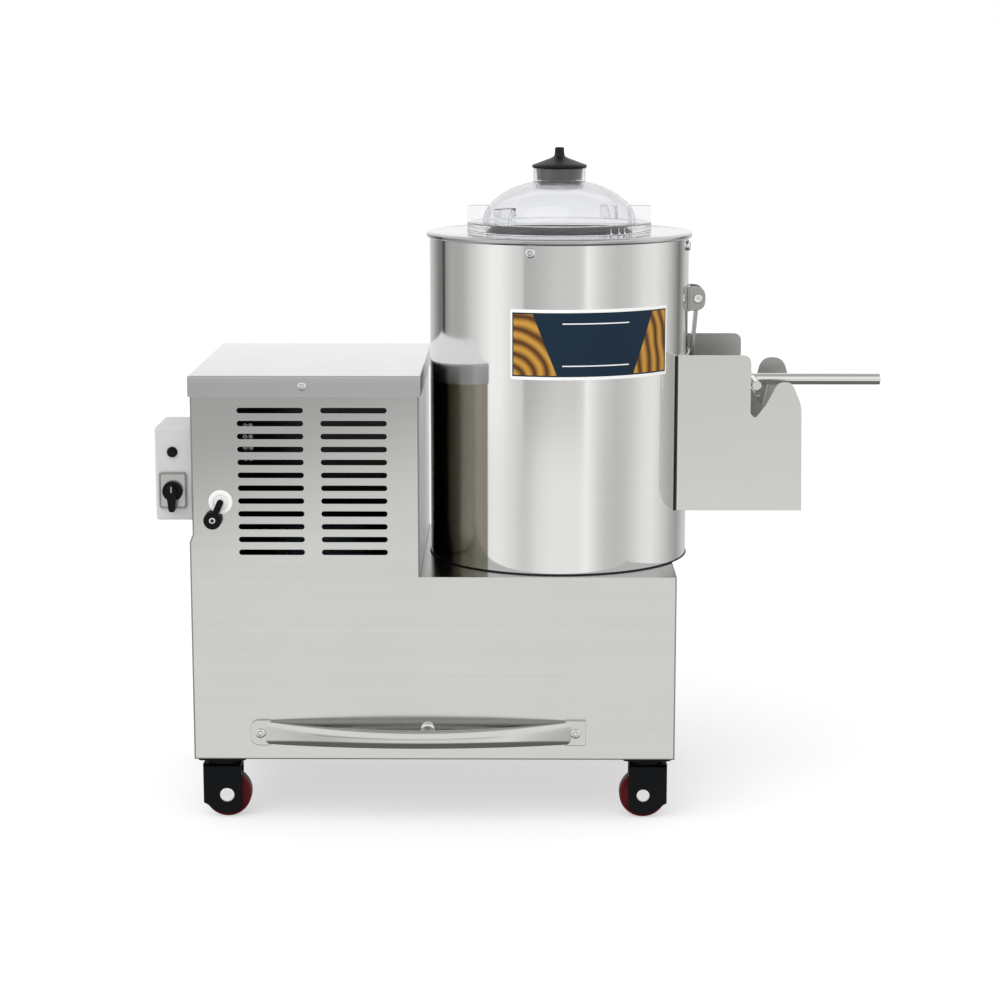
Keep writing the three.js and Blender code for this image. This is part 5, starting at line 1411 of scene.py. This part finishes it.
@dataclass
class Turntable:
    """The waved abrasive disc and its nut, on the shaft in its housing."""

    centre: Pair = DRUM_AXIS
    radius: float = 154.0
    top: float = 383.5
    thickness: float = 11.0
    waves: int = 3
    wave_height: float = 7.0
    hub_radius: float = 24.0
    bore: float = 10.3
    # (radius, height) of the domed nut
    nut: Profile = ((0, 0), (18.0, 0), (19.0, 1.0), (19.0, 4.6), (13.4, 13.0), (10.0, 14.0), (0, 14.0))

    def build(self) -> None:
        """Build the disc; its face rises by a half sine across it and a cosine round it."""
        radii = np.linspace(self.hub_radius, self.radius, 25)
        turn = np.linspace(0, 2 * np.pi, 144, endpoint=False)[:, None]
        across = np.sin(np.pi * (radii - self.hub_radius) / (self.radius - self.hub_radius))
        rise = self.wave_height * across * (1 + np.cos(self.waves * turn)) / 2
        level = np.full_like(turn, self.top)
        bottom = level - self.thickness
        radius = np.concatenate([[self.bore, self.bore], radii, [self.radius]])
        height = np.hstack([bottom, level, self.top + rise, bottom])
        disc = grid(upright(self.centre, radius, turn, height), wrap_u=True)
        add_piece("waved_disc", [disc], "turntable", ABRASIVE, ["abrasive_disc"], sharp=50)
        foot = (*self.centre, self.top + CLEARANCE)
        add_turned("domed_nut", self.nut, foot, "turntable", TURNED_STEEL, ["disc_nut"], Axis.Z, 6, 20)
        dress(TURNED_STEEL, "drive_shaft")
        dress(CAST, "bearing_housing", "driven_pulley")


@dataclass
class Lid:
    """The clear lid with its neck and lugs, and the soft stopper."""

    centre: Pair = DRUM_AXIS
    seat: float = 728.3
    flange_radius: float = 117.0
    flange_thickness: float = 11.0
    flange_round: float = 2.0
    spigot_radius: float = 98.0
    spigot_depth: float = 9.0
    wall: float = 3.5
    dome_radius: float = 97.0
    dome_height: float = 54.0
    neck_radius: float = 33.0
    neck_wall: float = 3.0
    neck_top: float = 806.5
    neck_foot: float = 781.0
    lug_angles: tuple[float, ...] = (0.0, 48.0, 180.0, 228.0)
    lug_inner: float = 88.0
    lug_width: float = 12.0
    lug_height: float = 21.0
    lug_round: float = 2.0
    lug_rim: float = 0.8
    lug_sink: float = 0.2
    rib_angles: tuple[float, ...] = (-57.5, -51.5, -47.0)
    rib_half: float = 1.6
    rib_reach: Pair = (-1.4, 0.5)
    rib_round: float = 1.2
    rib_gaps: Pair = (0.4, 2.2)
    rib_rim: float = 0.2
    # (radius, height above the neck) of the stopper
    stopper: Profile = (
        (0, 0), (26.4, 0), (25.4, -14.5), (28.4, -14.5), (29.4, 0), *arc((32.5, 2.4), 2.4, -90, 60, 8),
        (28.0, 6.4), (20.0, 9.4), (12.0, 12.3), (8.0, 14.2), (6.7, 15.8), (6.1, 18.4), (5.9, 22.4),
        *arc((4.1, 24.4), 1.8, 0, 90, 6), (0, 26.2),
    )

    @property
    def base(self) -> float:
        """Height of the flange's top."""
        return self.seat + self.flange_thickness

    def dome(self, radius: float, height: float) -> list[Pair]:
        """A quarter oval from the flange to the neck: (r cos t, base + h sin t)."""
        turn = np.linspace(0, math.acos(self.neck_radius / radius), 25)
        return list(zip(radius * np.cos(turn), self.base + height * np.sin(turn)))

    def build(self) -> None:
        """Build and dress lid and stopper."""
        bore, neck, edge = self.neck_radius - self.neck_wall, self.neck_radius, self.flange_round
        inner, foot = self.dome_radius - self.wall, self.seat - self.spigot_depth
        under = self.dome(inner, self.dome_height - self.wall)
        over = self.dome(self.dome_radius, self.dome_height)
        rim = arc((self.flange_radius - edge, self.base - edge), edge, 0, 90, 6)
        profile = [
            (bore, self.neck_foot), (neck, self.neck_foot), *under[::-1], (inner, foot),
            (self.spigot_radius, foot), (self.spigot_radius, self.seat), (self.flange_radius, self.seat),
            *rim, *over, (neck, self.neck_top), (bore, self.neck_top),
        ]
        lug, rib = self.lug(), self.rib()
        shells = [revolve(profile, (*self.centre, 0.0), steps=128)]
        shells += [carried(lug, math.radians(angle), self.centre) for angle in self.lug_angles]
        shells += [carried(rib, math.radians(angle), self.centre) for angle in self.rib_angles]
        add_piece("clear_lid", shells, "lid", CLEAR, ["lid"])
        seat = (*self.centre, self.neck_top + CLEARANCE)
        add_turned("neck_stopper", self.stopper, seat, "stopper", RUBBER, ["lid_stopper"], Axis.Z, 96)

    def lug(self) -> Shell:
        """One upright lug: a rounded bar across the flange, pointing along +X."""
        inner, outer, cut = self.lug_inner, self.flange_radius - CLEARANCE, self.lug_round
        low, high, half = self.base - self.lug_sink, self.base + self.lug_height, self.lug_width / 2
        outline = rounded([(inner, low), (outer, low), (outer, high, cut), (inner, high, cut)])
        return plate([outline], -half, half, edge=self.lug_rim)

    def rib(self) -> Shell:
        """A small upright rib on the flange's rim, at +X."""
        inner, outer = (self.flange_radius + reach for reach in self.rib_reach)
        half, (low, high) = self.rib_half, self.rib_gaps
        outline = oblong((inner, -half), (outer, half), self.rib_round, 5, rooted=True)
        return plate([outline], self.seat + low, self.base - high, Axis.Z, self.rib_rim)


@dataclass
class Outlet:
    """The chute, and the door with its hanger, clevis and lever."""

    axis: Pair = DRUM_AXIS
    drum_radius: float = DRUM_RADIUS
    half_width: float = 72.0
    thickness: float = 2.0
    bottom: float = 379.5
    cheek_top: float = 577.0
    cheek_round: float = 11.0
    rear_rise: float = 12.0
    # reaches from the drum's axis to the mouth's foot and lip, and the notch's (reach, height, round)
    mouth_reach: Pair = (307.0, 304.5)
    lip_drop: float = 29.0
    lip_round: float = 9.0
    notch: tuple[Triple, ...] = ((259.5, 514.0, 4.0), (246.5, 497.0, 4.0), (240.5, 503.0, 2.0))
    # each hump's top, its near and far reach and its round
    front_hump: tuple[float, ...] = (543.0, 275.0, 292.0, 8.0)
    rear_hump: tuple[float, ...] = (557.4, 268.0, 296.0, 13.5)
    # the dark strip's two faces beyond the drum, and its half width and offset in degrees; the strip is
    # black rubber along the front cheek's edge, painted shade for the gap between cheek and drum
    shade_strip_faces: Pair = (0.1, 1.3)
    shade_strip_half: float = 0.7
    shade_strip_offset: float = 1.55
    shade_strip_ends: Pair = (0.4, 0.6)
    shade_strip_round: float = 0.4
    door_inner: float = 165.8
    door_outer: float = 168.8
    door_half: float = 69.5
    door_low: float = 382.5
    door_high: float = 576.0
    door_round: float = 0.5
    hinge_x: float = 632.0
    hinge_z: float = 643.1
    hinge_half: float = 15.5
    hinge_reach: float = 10.0
    hinge_round: float = 14.0
    pad_faces: Pair = (0.3, 2.3)
    pad_half: float = 30.0
    pad_round: float = 0.4
    ear_sides: Pair = (15.6, 19.6)
    ear_sink: float = 1.0
    ear_rim: float = 0.6
    bore: float = 4.3
    pin_front: float = 19.9
    # (radius, distance behind the head's seat) of the hanging pin
    pin: Profile = (
        (0, -1.6), (1.8, -1.6), (2.2, -3.0), *arc((4.2, -1.8), 1.8, -90, 0, 6), (6.0, 0), (4.0, 0),
        (4.0, 42.5), (0, 42.5),
    )
    strap_half: float = 15.0
    strap_thickness: float = 3.6
    strap_foot: float = 561.0
    strap_bend: float = 8.0
    strap_tip: Pair = (-1.6, 2.0)
    strap_top: float = 4.6
    strap_eye: float = 7.0
    strap_rims: Pair = (0.4, 0.5)
    lever_x: float = 639.8
    lever_z: float = 538.0
    clevis_low: float = 521.0
    clevis_high: float = 555.0
    clevis_thickness: float = 3.0
    clevis_round: float = 3.0
    clevis_rim: float = 0.5
    clevis_sides: Pair = (8.3, 12.3)
    clevis_reach: float = 8.0
    clevis_levels: Pair = (525.0, 551.0)
    clevis_pin: Pair = (4.0, 12.6)
    rod_radius: float = 7.3
    rod_tip: float = 869.0
    rod_round: float = 1.6
    eye_radius: float = 9.0
    eye_half: float = 8.0
    bar_x: float = 704.0
    bar_radius: float = 6.0
    bar_half: float = 70.0
    bar_cut: float = 0.6
    # the latch plate's tip and hole: (reach past its near edge, drop below the rod, round or radius)
    latch_reach: float = 242.0
    latch_width: float = 28.0
    latch_tip: Triple = (20.2, 37.0, 3.0)
    latch_hole: Triple = (14.0, 18.5, 3.6)
    latch_half: float = 2.0
    latch_rim: float = 0.5

    def build(self) -> None:
        """Build and dress chute, door and lever."""
        self.build_cheeks()
        self.build_hinge()
        self.build_door()
        self.build_clevis()
        self.build_lever()
        # the chute floor gets the darker chute steel: painted shade inside the chute
        dress(CHUTE_SHADE_STEEL, "chute_floor")

    @property
    def door_face(self) -> float:
        """X of the plane that the strap and the clevis stand on, just clear of the door."""
        return self.axis[0] + self.door_outer + CLEARANCE

    def middle_plate(self, outlines: Sequence[Array], half: float, edge: float) -> Shell:
        """An upright sheet that reaches equally far to both sides of the drum's axis."""
        return plate(outlines, self.axis[1] - half, self.axis[1] + half, edge=edge)

    def cheek(self, rise: float, hump: Sequence[float]) -> Array:
        """A cheek's outline: tall at the drum, a notch for the lever, a hump and the mouth.

        Args:
            rise: how much taller it stands than the front cheek.
            hump: the hump's top, its two reaches from the drum's axis and its round.

        Returns:
            Array of shape (points, 2).
        """
        top, near, far, cut = hump
        x, (foot, lip) = self.axis[0], self.mouth_reach
        edge = x + math.sqrt(self.drum_radius**2 - self.half_width**2) + CLEARANCE
        notch = [(x + reach, height + rise, blend) for reach, height, blend in self.notch]
        return rounded([
            (edge, self.bottom), (x + foot, self.bottom), (x + lip, top - self.lip_drop, self.lip_round),
            (x + far, top, cut), (x + near, top, cut), *notch,
            (notch[-1][0], self.cheek_top + rise, self.cheek_round), (edge, self.cheek_top + rise),
        ], 10)

    def build_cheeks(self) -> None:
        """The two cheeks of the chute, and the black strip beside the front one, painted shade for the gap
        between cheek and drum.
        """
        front, rear = self.axis[1] - self.half_width, self.axis[1] + self.half_width
        near = plate([self.cheek(0, self.front_hump)], front - self.thickness, front)
        add_piece("front_cheek", [near], "cabinet", CHUTE_SHEET, ["chute_front_cheek"])
        far = plate([self.cheek(self.rear_rise, self.rear_hump)], rear, rear + self.thickness)
        # the rear cheek gets the darker chute steel: painted shade inside the chute
        add_piece("rear_cheek", [far], "cabinet", CHUTE_SHADE_STEEL, ["chute_rear_cheek"])
        # painted shade: a thin black strip along the front cheek's edge at the drum, for the dark gap
        # between them
        low, high = self.bottom + self.shade_strip_ends[0], self.cheek_top - self.shade_strip_ends[1]
        inner, outer = (self.drum_radius + face for face in self.shade_strip_faces)
        shade_strip = sector((0.0, 0.0), inner, outer, math.radians(self.shade_strip_half), low, high, self.shade_strip_round, 6)
        angle = -math.asin(self.half_width / self.drum_radius) - math.radians(self.shade_strip_offset)
        add_piece("cheek_shade_strip", [carried(shade_strip, angle, self.axis)], "cabinet", RUBBER)

    def build_hinge(self) -> None:
        """The hinge bracket: a bent pad and two ears with a bore, and the headed pin."""
        (x, y), low, high = self.axis, self.hinge_z - self.hinge_half, self.hinge_z + self.hinge_half
        inner, outer = (self.drum_radius + face for face in self.pad_faces)
        pad = sector(self.axis, inner, outer, math.asin(self.pad_half / outer), low, high, self.pad_round)
        root = x + math.sqrt(self.drum_radius**2 - self.ear_sides[0]**2) + self.ear_sink
        end = self.hinge_x + self.hinge_reach
        outline = oblong((root, low), (end, high), self.hinge_round, 12, rooted=True)
        hole = circle(self.hinge_x, self.hinge_z, self.bore, 32)
        ears = pair_of_plates([outline, hole], y, *self.ear_sides, self.ear_rim)
        add_piece("bracket", [pad, *ears], "cabinet", HINGE_STEEL, ["hinge_bracket"])
        front = (self.hinge_x, y - self.pin_front, self.hinge_z)
        add_turned("hanging_pin", self.pin, front, "cabinet", SCREW_STEEL, ["hinge_pin"])

    def build_door(self) -> None:
        """The curved door and the strap that hangs it."""
        radii, levels = (self.door_inner, self.door_outer), (self.door_low, self.door_high)
        half = math.asin(self.door_half / self.door_outer)
        door = sector(self.axis, *radii, half, *levels, self.door_round)
        add_piece("curved_door", [door], "door", CHUTE_SHEET, ["door_plate"])
        x, z, inner = self.hinge_x, self.hinge_z, self.door_face
        outer, bend = inner + self.strap_thickness, (self.door_high, self.strap_bend)
        behind, ahead = self.strap_tip
        strap = rounded([
            (inner, self.strap_foot), (outer, self.strap_foot), (outer, *bend), (x + ahead, z),
            (x + behind, z), (inner, *bend),
        ])
        eye = [circle(x, z, self.strap_eye), circle(x, z, self.bore, 32)]
        blade = self.middle_plate([strap], self.strap_half, self.strap_rims[0])
        hoop = self.middle_plate(eye, self.strap_half, self.strap_rims[1])
        blade.points[:, 2] = np.minimum(blade.points[:, 2], z - self.strap_top)
        add_piece("door_strap", [blade, hoop], "door", HINGE_STEEL, ["door_hanger"])

    def build_clevis(self) -> None:
        """The clevis on the door: a pad, two ears and the pin that carries the lever."""
        y, (near, far), (low, high) = self.axis[1], self.clevis_sides, self.clevis_levels
        inner, reach = self.door_face, self.clevis_reach
        face = oblong((y - far, self.clevis_low), (y + far, self.clevis_high), self.clevis_round)
        pad = plate([face], inner, inner + self.clevis_thickness, Axis.X, self.clevis_rim)
        root, end = inner + self.clevis_thickness / 2, self.lever_x + reach
        ear = oblong((root, low), (end, high), reach, 10, rooted=True)
        ears = pair_of_plates([ear], y, near, far, self.ear_rim)
        radius, half = self.clevis_pin
        profile = [(0, -half), (radius, -half), (radius, half), (0, half)]
        pin = revolve(profile, (self.lever_x, y, self.lever_z), Axis.Y.value, 40)
        add_piece("lever_clevis", [pad, *ears, pin], "door", BRIGHT_STEEL, ["door_clevis"])

    def build_lever(self) -> None:
        """The lever: an eye on the clevis pin, the rod with its eased tip and the cross-bar."""
        y, x, z, radius = self.axis[1], self.lever_x, self.lever_z, self.rod_radius
        tip, edge, start = self.rod_tip, self.rod_round, self.lever_x + self.bore
        blend = arc((radius - edge, tip - edge), edge, 0, 90, 6)
        rod = [(0, start), (radius, start), (radius, tip - edge), *blend, (0, tip)]
        eye = [circle(x, z, self.eye_radius), circle(x, z, self.bore, 32)]
        thick, half, cut = self.bar_radius, self.bar_half, self.bar_cut
        half_bar = [(0, -half), (thick - cut, -half), (thick, cut - half)]
        bar = [*half_bar, *((r, -h) for r, h in reversed(half_bar))]
        inner, root = self.axis[0] + self.latch_reach, z - radius / 2
        (tip_x, drop, cut), (hole_x, hole_drop, hole) = self.latch_tip, self.latch_hole
        latch = rounded([(inner, root), (inner + tip_x, z - drop, cut), (inner + self.latch_width, root)])
        outlines = [latch, circle(inner + hole_x, z - hole_drop, hole, 32)]
        shells = [
            revolve(rod, (0.0, y, z), Axis.X.value, 48),
            self.middle_plate(eye, self.eye_half, self.ear_rim),
            revolve(bar, (self.bar_x, y, z), Axis.Y.value, 48),
            self.middle_plate(outlines, self.latch_half, self.latch_rim),
        ]
        add_piece("lever", shells, "door_lever", BRIGHT_STEEL, ["door_handle"])


@dataclass
class Castor:
    """A swivel castor: top plate and race, fork with its bolt, and the crowned wheel."""

    corner: str
    x: float
    y: float
    facing: float
    trail: float = 4.0
    # the solid wheel is 60 mm across with 20 flats, and stands on one of them
    axle_height: float = 30.0 * math.cos(math.pi / 20)
    plate_half: float = 30.0
    plate_corner: float = 6.0
    plate_faces: Pair = (78.1, 80.7)
    plate_rim: float = 0.5
    # (radius, height) of the ball race
    race: Profile = ((0, 70.0), (18.0, 70.0), *arc((19.0, 73.0), 2.6, -70, 20, 5), (22.0, 78.0), (0, 78.0))
    fork_rear: float = -26.0
    fork_front: float = 22.0
    fork_corner: float = 19.0
    fork_top: float = 69.7
    fork_sides: Pair = (12.6, 15.1)
    fork_rim: float = 0.5
    toe_drop: float = 5.0
    toe_angles: Pair = (-126.0, -43.0)
    crown_thickness: float = 4.0
    crown_corner: float = 1.0
    crown_rim: float = 0.8
    # (radius, distance along the axle) of the bolt and its nut
    bolt: Profile = (
        (0, -18.1), (5.0, -17.9), *arc((7.6, -16.4), 1.7, -90, 0, 5), (9.3, -15.1), (5.0, -15.1),
        (5.0, 15.1), (8.0, 15.1), (8.0, 17.4), (7.0, 18.1), (0, 18.1),
    )
    wheel_half: float = 11.0
    # (radius, depth below the wheel's face) of its hub and web
    web: Profile = ((5.3, 0.0), (12.0, 0.0), (13.5, 1.5), (23.0, 1.8), (25.0, 1.2))
    tread_half: float = 7.5
    tread_round: float = 3.8

    def add(self, name: str, shells: Sequence[Shell], body: str, finish: Finish, node: str = "") -> None:
        """Add a piece of this corner, turned and shifted to its place.

        Args:
            name: the piece's name without the corner's.
            shells: its surfaces, built about the swivel axis.
            body: the body's name.
            finish: its finish.
            node: the solid that it stands for, without the corner's name.
        """
        placed = [carried(shell, self.facing, (self.x, self.y)) for shell in shells]
        nodes = [f"{node}_{self.corner}"] if node else []
        add_piece(f"{name}_{self.corner}", placed, body, finish, nodes)

    def build(self) -> None:
        """Build and dress the castor."""
        half = self.plate_half
        square = oblong((-half, -half), (half, half), self.plate_corner)
        top = plate([square], *self.plate_faces, Axis.Z, self.plate_rim)
        race = revolve(self.race, (0.0, 0.0, 0.0), steps=64)
        self.add("mount", [top, race], "cabinet", BLACK_ENAMEL, "castor_plate")
        self.build_fork()
        self.build_wheel()

    def build_fork(self) -> None:
        """The fork: two cheeks with round toes, the crown between them and the axle bolt."""
        axle, front, rear, top = self.axle_height, self.fork_front, self.fork_rear, self.fork_top
        toe = arc((self.trail, axle), axle - self.toe_drop, *self.toe_angles, 16)
        outline = np.array([(rear, top), (rear, self.fork_corner), *toe, (front, axle), (front, top)])
        cheeks = pair_of_plates([outline], 0.0, *self.fork_sides, self.fork_rim)
        half = self.fork_sides[1]
        square = oblong((rear, -half), (front, half), self.crown_corner)
        crown = plate([square], top - self.crown_thickness, top, Axis.Z, self.crown_rim)
        body = f"swivel_{self.corner}"
        self.add("fork", [*cheeks, crown], body, BLACK_ENAMEL, "castor_fork")
        bolt = revolve(self.bolt, (self.trail, 0.0, axle), Axis.Y.value, 48)
        self.add("axle_bolt", [bolt], body, BOLT_STEEL)

    def build_wheel(self) -> None:
        """The wheel, turned from its section: proud hub, dished web and crowned tread."""
        side = [(radius, depth - self.wheel_half) for radius, depth in self.web]
        tread = (self.axle_height - self.tread_round, -self.tread_half)
        half_section = [*side, *arc(tread, self.tread_round, -70, 0, 6)]
        section = [*half_section, *((radius, -depth) for radius, depth in reversed(half_section))]
        wheel = revolve(section, (self.trail, 0.0, self.axle_height), Axis.Y.value, 96)
        self.add("wheel", [wheel], f"wheel_{self.corner}", RED_WHEEL, "castor_wheel")


@dataclass
class Machinery:
    """What the cabinet holds, and what leaves it at the rear."""

    pipe_x: float = DRUM_AXIS[0]
    pipe_top: float = 324.7
    pipe_y: float = 281.0
    pipe_level: float = 240.0
    pipe_end: float = 376.0
    pipe_radius: float = 18.0
    pipe_bore: float = 15.5
    bend: float = 34.0
    gland_place: Triple = (60.0, 0.0, 140.0)
    # (radius, depth) of the cable gland
    gland: Profile = (
        (4.5, 338.3), (8.0, 338.3), (8.0, 350.3), (12.0, 350.3), (12.0, 357.3), (10.0, 357.6),
        *arc((7.0, 364.3), 3.0, 0, 90, 6), (5.6, 369.3), (4.5, 369.3),
    )
    terminal_rows: tuple[float, ...] = (494.0, 480.0, 466.0, 452.0)
    terminal_columns: Pair = (64.0, 71.0)
    terminal_depth: float = 60.0
    terminal_head: Pair = (3.4, 2.0)

    def build(self) -> None:
        """Build the pipe and the gland, and dress the inner solids."""
        self.build_pipe()
        add_turned("rear_gland", self.gland, self.gland_place, "cabinet", BLACK_PLASTIC, ["cable_gland"])
        dress(MOTOR_ENAMEL, "motor_body")
        dress(BLACK_PLASTIC, "motor_terminal_box")
        dress(TURNED_STEEL, "motor_shaft", "motor_bracket")
        dress(CAST, "motor_pulley")
        dress(RUBBER, "drive_belt")
        dress(BLACK_ENAMEL, "contactor")
        heads = [
            screw((x, self.terminal_depth, z), FRONTWARD, *self.terminal_head)
            for z in self.terminal_rows for x in self.terminal_columns
        ]
        add_piece("contactor_screws", heads, "cabinet", BOLT_STEEL)

    def build_pipe(self) -> None:
        """The waste pipe: circles carried down, round a quarter bend and out to the rear."""
        turn = np.linspace(0, np.pi / 2, 17)
        bend = np.stack([
            self.pipe_y + self.bend * (1 - np.cos(turn)), self.pipe_level + self.bend * (1 - np.sin(turn))
        ], -1)
        path = np.vstack([[self.pipe_y, self.pipe_top], bend, [self.pipe_end, self.pipe_level]])
        lean = np.concatenate([[0.0], turn, [np.pi / 2]])[:, None]
        round_turn = np.linspace(0, 2 * np.pi, 48, endpoint=False)
        rings = []
        for radius, order in ((self.pipe_radius, 1), (self.pipe_bore, -1)):
            aside, out = radius * np.cos(round_turn), radius * np.sin(round_turn)
            y, z = path[:, :1] + out * np.cos(lean), path[:, 1:] + out * np.sin(lean)
            rings.append(np.stack([self.pipe_x + aside + 0 * y, y, z], -1)[::order])
        pipe = grid(np.concatenate(rings), wrap_u=True)
        add_piece("waste_pipe", [pipe], "cabinet", GREY_PLASTIC, ["drain_outlet"])


# Studio


@dataclass
class Studio:
    """Camera, plain floor, soft lamp and the light grey studio that steel reflects."""

    camera_place: Triple = (-0.00793, -3.0842, 0.9352)
    camera_turn: Triple = (79.808, 0.0, 0.453)
    lens: float = 87.1
    sensor: float = 36.0
    floor_half: float = 60.0
    floor_sink: float = 0.0005
    floor_paint: float = 0.5
    floor_glow: float = 0.52
    lamp_strength: float = 1.35
    lamp_spread: float = 60.0
    lamp_turn: Triple = (38.0, 0.0, -28.0)
    fill_level: float = 0.78
    blue_share: float = 0.985
    # (azimuth in degrees from the front, turning to the right; level), just below eye height
    upper: tuple[Pair, ...] = (
        (-180, 0.9), (-151, 0.56), (-134, 0.23), (-127, 0.2), (-125, 0.02), (-123, 0.04), (-121, 0.34),
        (-112, 0.49), (-102, 0.48), (-94, 0.53), (-87, 0.68), (-79, 0.82), (-72, 0.97), (-62, 1.13),
        (-53, 1.1), (-41, 0.87), (-33, 0.79), (-31, 0.55), (-24, 0.57), (-3, 0.73), (14, 0.74), (20, 0.82),
        (24, 1.12), (30, 0.96), (38, 0.79), (52, 0.65), (65, 0.72), (80, 0.95), (93, 1.0), (110, 0.77),
        (132, 0.2), (150, 0.68),
    )
    # the same, nearer the floor
    lower: tuple[Pair, ...] = (
        (-180, 0.9), (-151, 0.56), (-134, 0.1), (-121, 0.3), (-102, 0.48), (-87, 0.68), (-73, 0.85),
        (-66, 0.97), (-60, 1.02), (-54, 1.0), (-42, 0.88), (-35, 0.76), (-30, 0.75), (-25, 0.81),
        (-19, 0.92), (-8, 1.0), (13, 1.0), (19, 1.03), (24, 1.12), (30, 0.95), (35, 0.81), (41, 0.7),
        (52, 0.64), (59, 0.67), (65, 0.74), (72, 0.83), (78, 0.93), (90, 1.0), (101, 0.85), (120, 0.54),
        (132, 0.4), (150, 0.66),
    )
    # heights (sine of the elevation) between which one reading passes into the next
    floor_band: Pair = (-0.62, -0.48)
    floor_level: float = 0.17
    step_band: Pair = (-0.162, -0.139)
    sky_band: Pair = (-0.05, 0.08)
    sky_level: float = 1.08
    zenith_band: Pair = (0.74, 0.86)
    zenith_level: float = 0.52

    def build(self) -> None:
        """Set the camera, the floor, the lamp and the world."""
        self.build_camera()
        self.build_floor()
        self.build_lamp()
        self.build_world()
        bpy.context.scene.view_settings.view_transform = "Standard"

    def build_camera(self) -> None:
        """The camera at the photograph's place and angle."""
        data = bpy.data.cameras.new("camera")
        data.lens = self.lens
        data.sensor_width = self.sensor
        camera = link("camera", data)
        camera.location = self.camera_place
        camera.rotation_euler = np.radians(self.camera_turn)
        bpy.context.scene.camera = camera

    def build_floor(self) -> None:
        """A wide white floor that keeps shadows; reflections look through it at the surround."""
        half, level = self.floor_half, -self.floor_sink
        mesh = bpy.data.meshes.new("floor")
        corners = [(-half, -half, level), (half, -half, level), (half, half, level), (-half, half, level)]
        mesh.from_pydata(corners, [], [(0, 1, 2, 3)])
        floor = link("floor", mesh)
        material = bpy.data.materials.new("floor_white")
        nodes = Nodes.of(material)
        paint = nodes.add("ShaderNodeBsdfDiffuse", Color=(self.floor_paint,) * 3)
        glow = nodes.add("ShaderNodeEmission", Color=(1.0, 1.0, 1.0), Strength=self.floor_glow)
        lit = nodes.add("ShaderNodeAddShader", i0=paint.outputs[0], i1=glow.outputs[0])
        clear = nodes.add("ShaderNodeBsdfTransparent")
        glossy = nodes.add("ShaderNodeLightPath").outputs["Is Glossy Ray"]
        mixed = nodes.add("ShaderNodeMixShader", i0=glossy, i1=lit.outputs[0], i2=clear.outputs[0])
        nodes.add("ShaderNodeOutputMaterial", Surface=mixed.outputs[0])
        mesh.materials.append(material)

    def build_lamp(self) -> None:
        """One wide soft lamp from the upper left front."""
        data = bpy.data.lights.new("soft_lamp", "SUN")
        data.energy = self.lamp_strength
        data.angle = math.radians(self.lamp_spread)
        lamp = link("soft_lamp", data)
        lamp.rotation_euler = np.radians(self.lamp_turn)
        lamp.visible_glossy = False

    def build_world(self) -> None:
        """White to the eye; an even light on surfaces; for steel, levels that vary with azimuth."""
        world = bpy.data.worlds.new("studio")
        bpy.context.scene.world = world
        nodes = Nodes.of(world)
        direction = nodes.add("ShaderNodeTexCoord").outputs["Generated"]
        x, y, height = nodes.add("ShaderNodeSeparateXYZ", Vector=direction).outputs
        azimuth = nodes.math("ARCTAN2", x, nodes.math("MULTIPLY", y, -1.0))
        share = nodes.math("ADD", nodes.math("DIVIDE", azimuth, 2 * math.pi), 0.5)
        around = (self.floor_level,) * 3
        for band, level in (
            (self.floor_band, self.ramp(nodes, share, self.lower)),
            (self.step_band, self.ramp(nodes, share, self.upper)),
            (self.sky_band, (self.sky_level,) * 3),
            (self.zenith_band, (self.zenith_level,) * 3),
        ):
            around = nodes.mix(nodes.share(height, band, soft=True), around, level)
        path = nodes.add("ShaderNodeLightPath")
        seen = nodes.math("MAXIMUM", path.outputs["Is Camera Ray"], path.outputs["Is Transmission Ray"])
        lit = nodes.mix(path.outputs["Is Glossy Ray"], (self.fill_level,) * 3, around)
        colour = nodes.mix(seen, lit, (1.0, 1.0, 1.0))
        light = nodes.add("ShaderNodeBackground", Color=colour, Strength=1.0)
        nodes.add("ShaderNodeOutputWorld", Surface=light.outputs[0])

    def ramp(self, nodes: Nodes, share: Socket, levels: Sequence[Pair]) -> Socket:
        """The level at each azimuth.

        Args:
            nodes: the hand for the world's tree.
            share: the azimuth as a share of the full turn.
            levels: (azimuth in degrees, level) of each stop.

        Returns:
            The colour.
        """
        node = nodes.add("ShaderNodeValToRGB", Fac=share)
        stops = node.color_ramp.elements
        while len(stops) < len(levels):
            stops.new(0.5)
        for stop, (angle, level) in zip(stops, levels):
            stop.position = angle / 360 + 0.5
            stop.color = (level, level, level * self.blue_share, 1.0)
        return node.outputs[0]


def main() -> None:
    """Build the machine's sub-assemblies in order, then the studio."""
    logging.basicConfig(level=logging.INFO, format="%(name)s: %(message)s")
    castors = [
        Castor(f"{row}_{side}", x, y, facing)
        for row, y in CASTOR_ROWS for side, x, facing in CASTOR_SIDES
    ]
    assemblies = (
        Cabinet(), Controls(), Drum(), Turntable(), Lid(), Outlet(), *castors, Machinery(), Studio(),
    )
    for assembly in assemblies:
        assembly.build()
        LOG.info("%s is done", type(assembly).__name__)


if __name__ == "__main__":
    main()
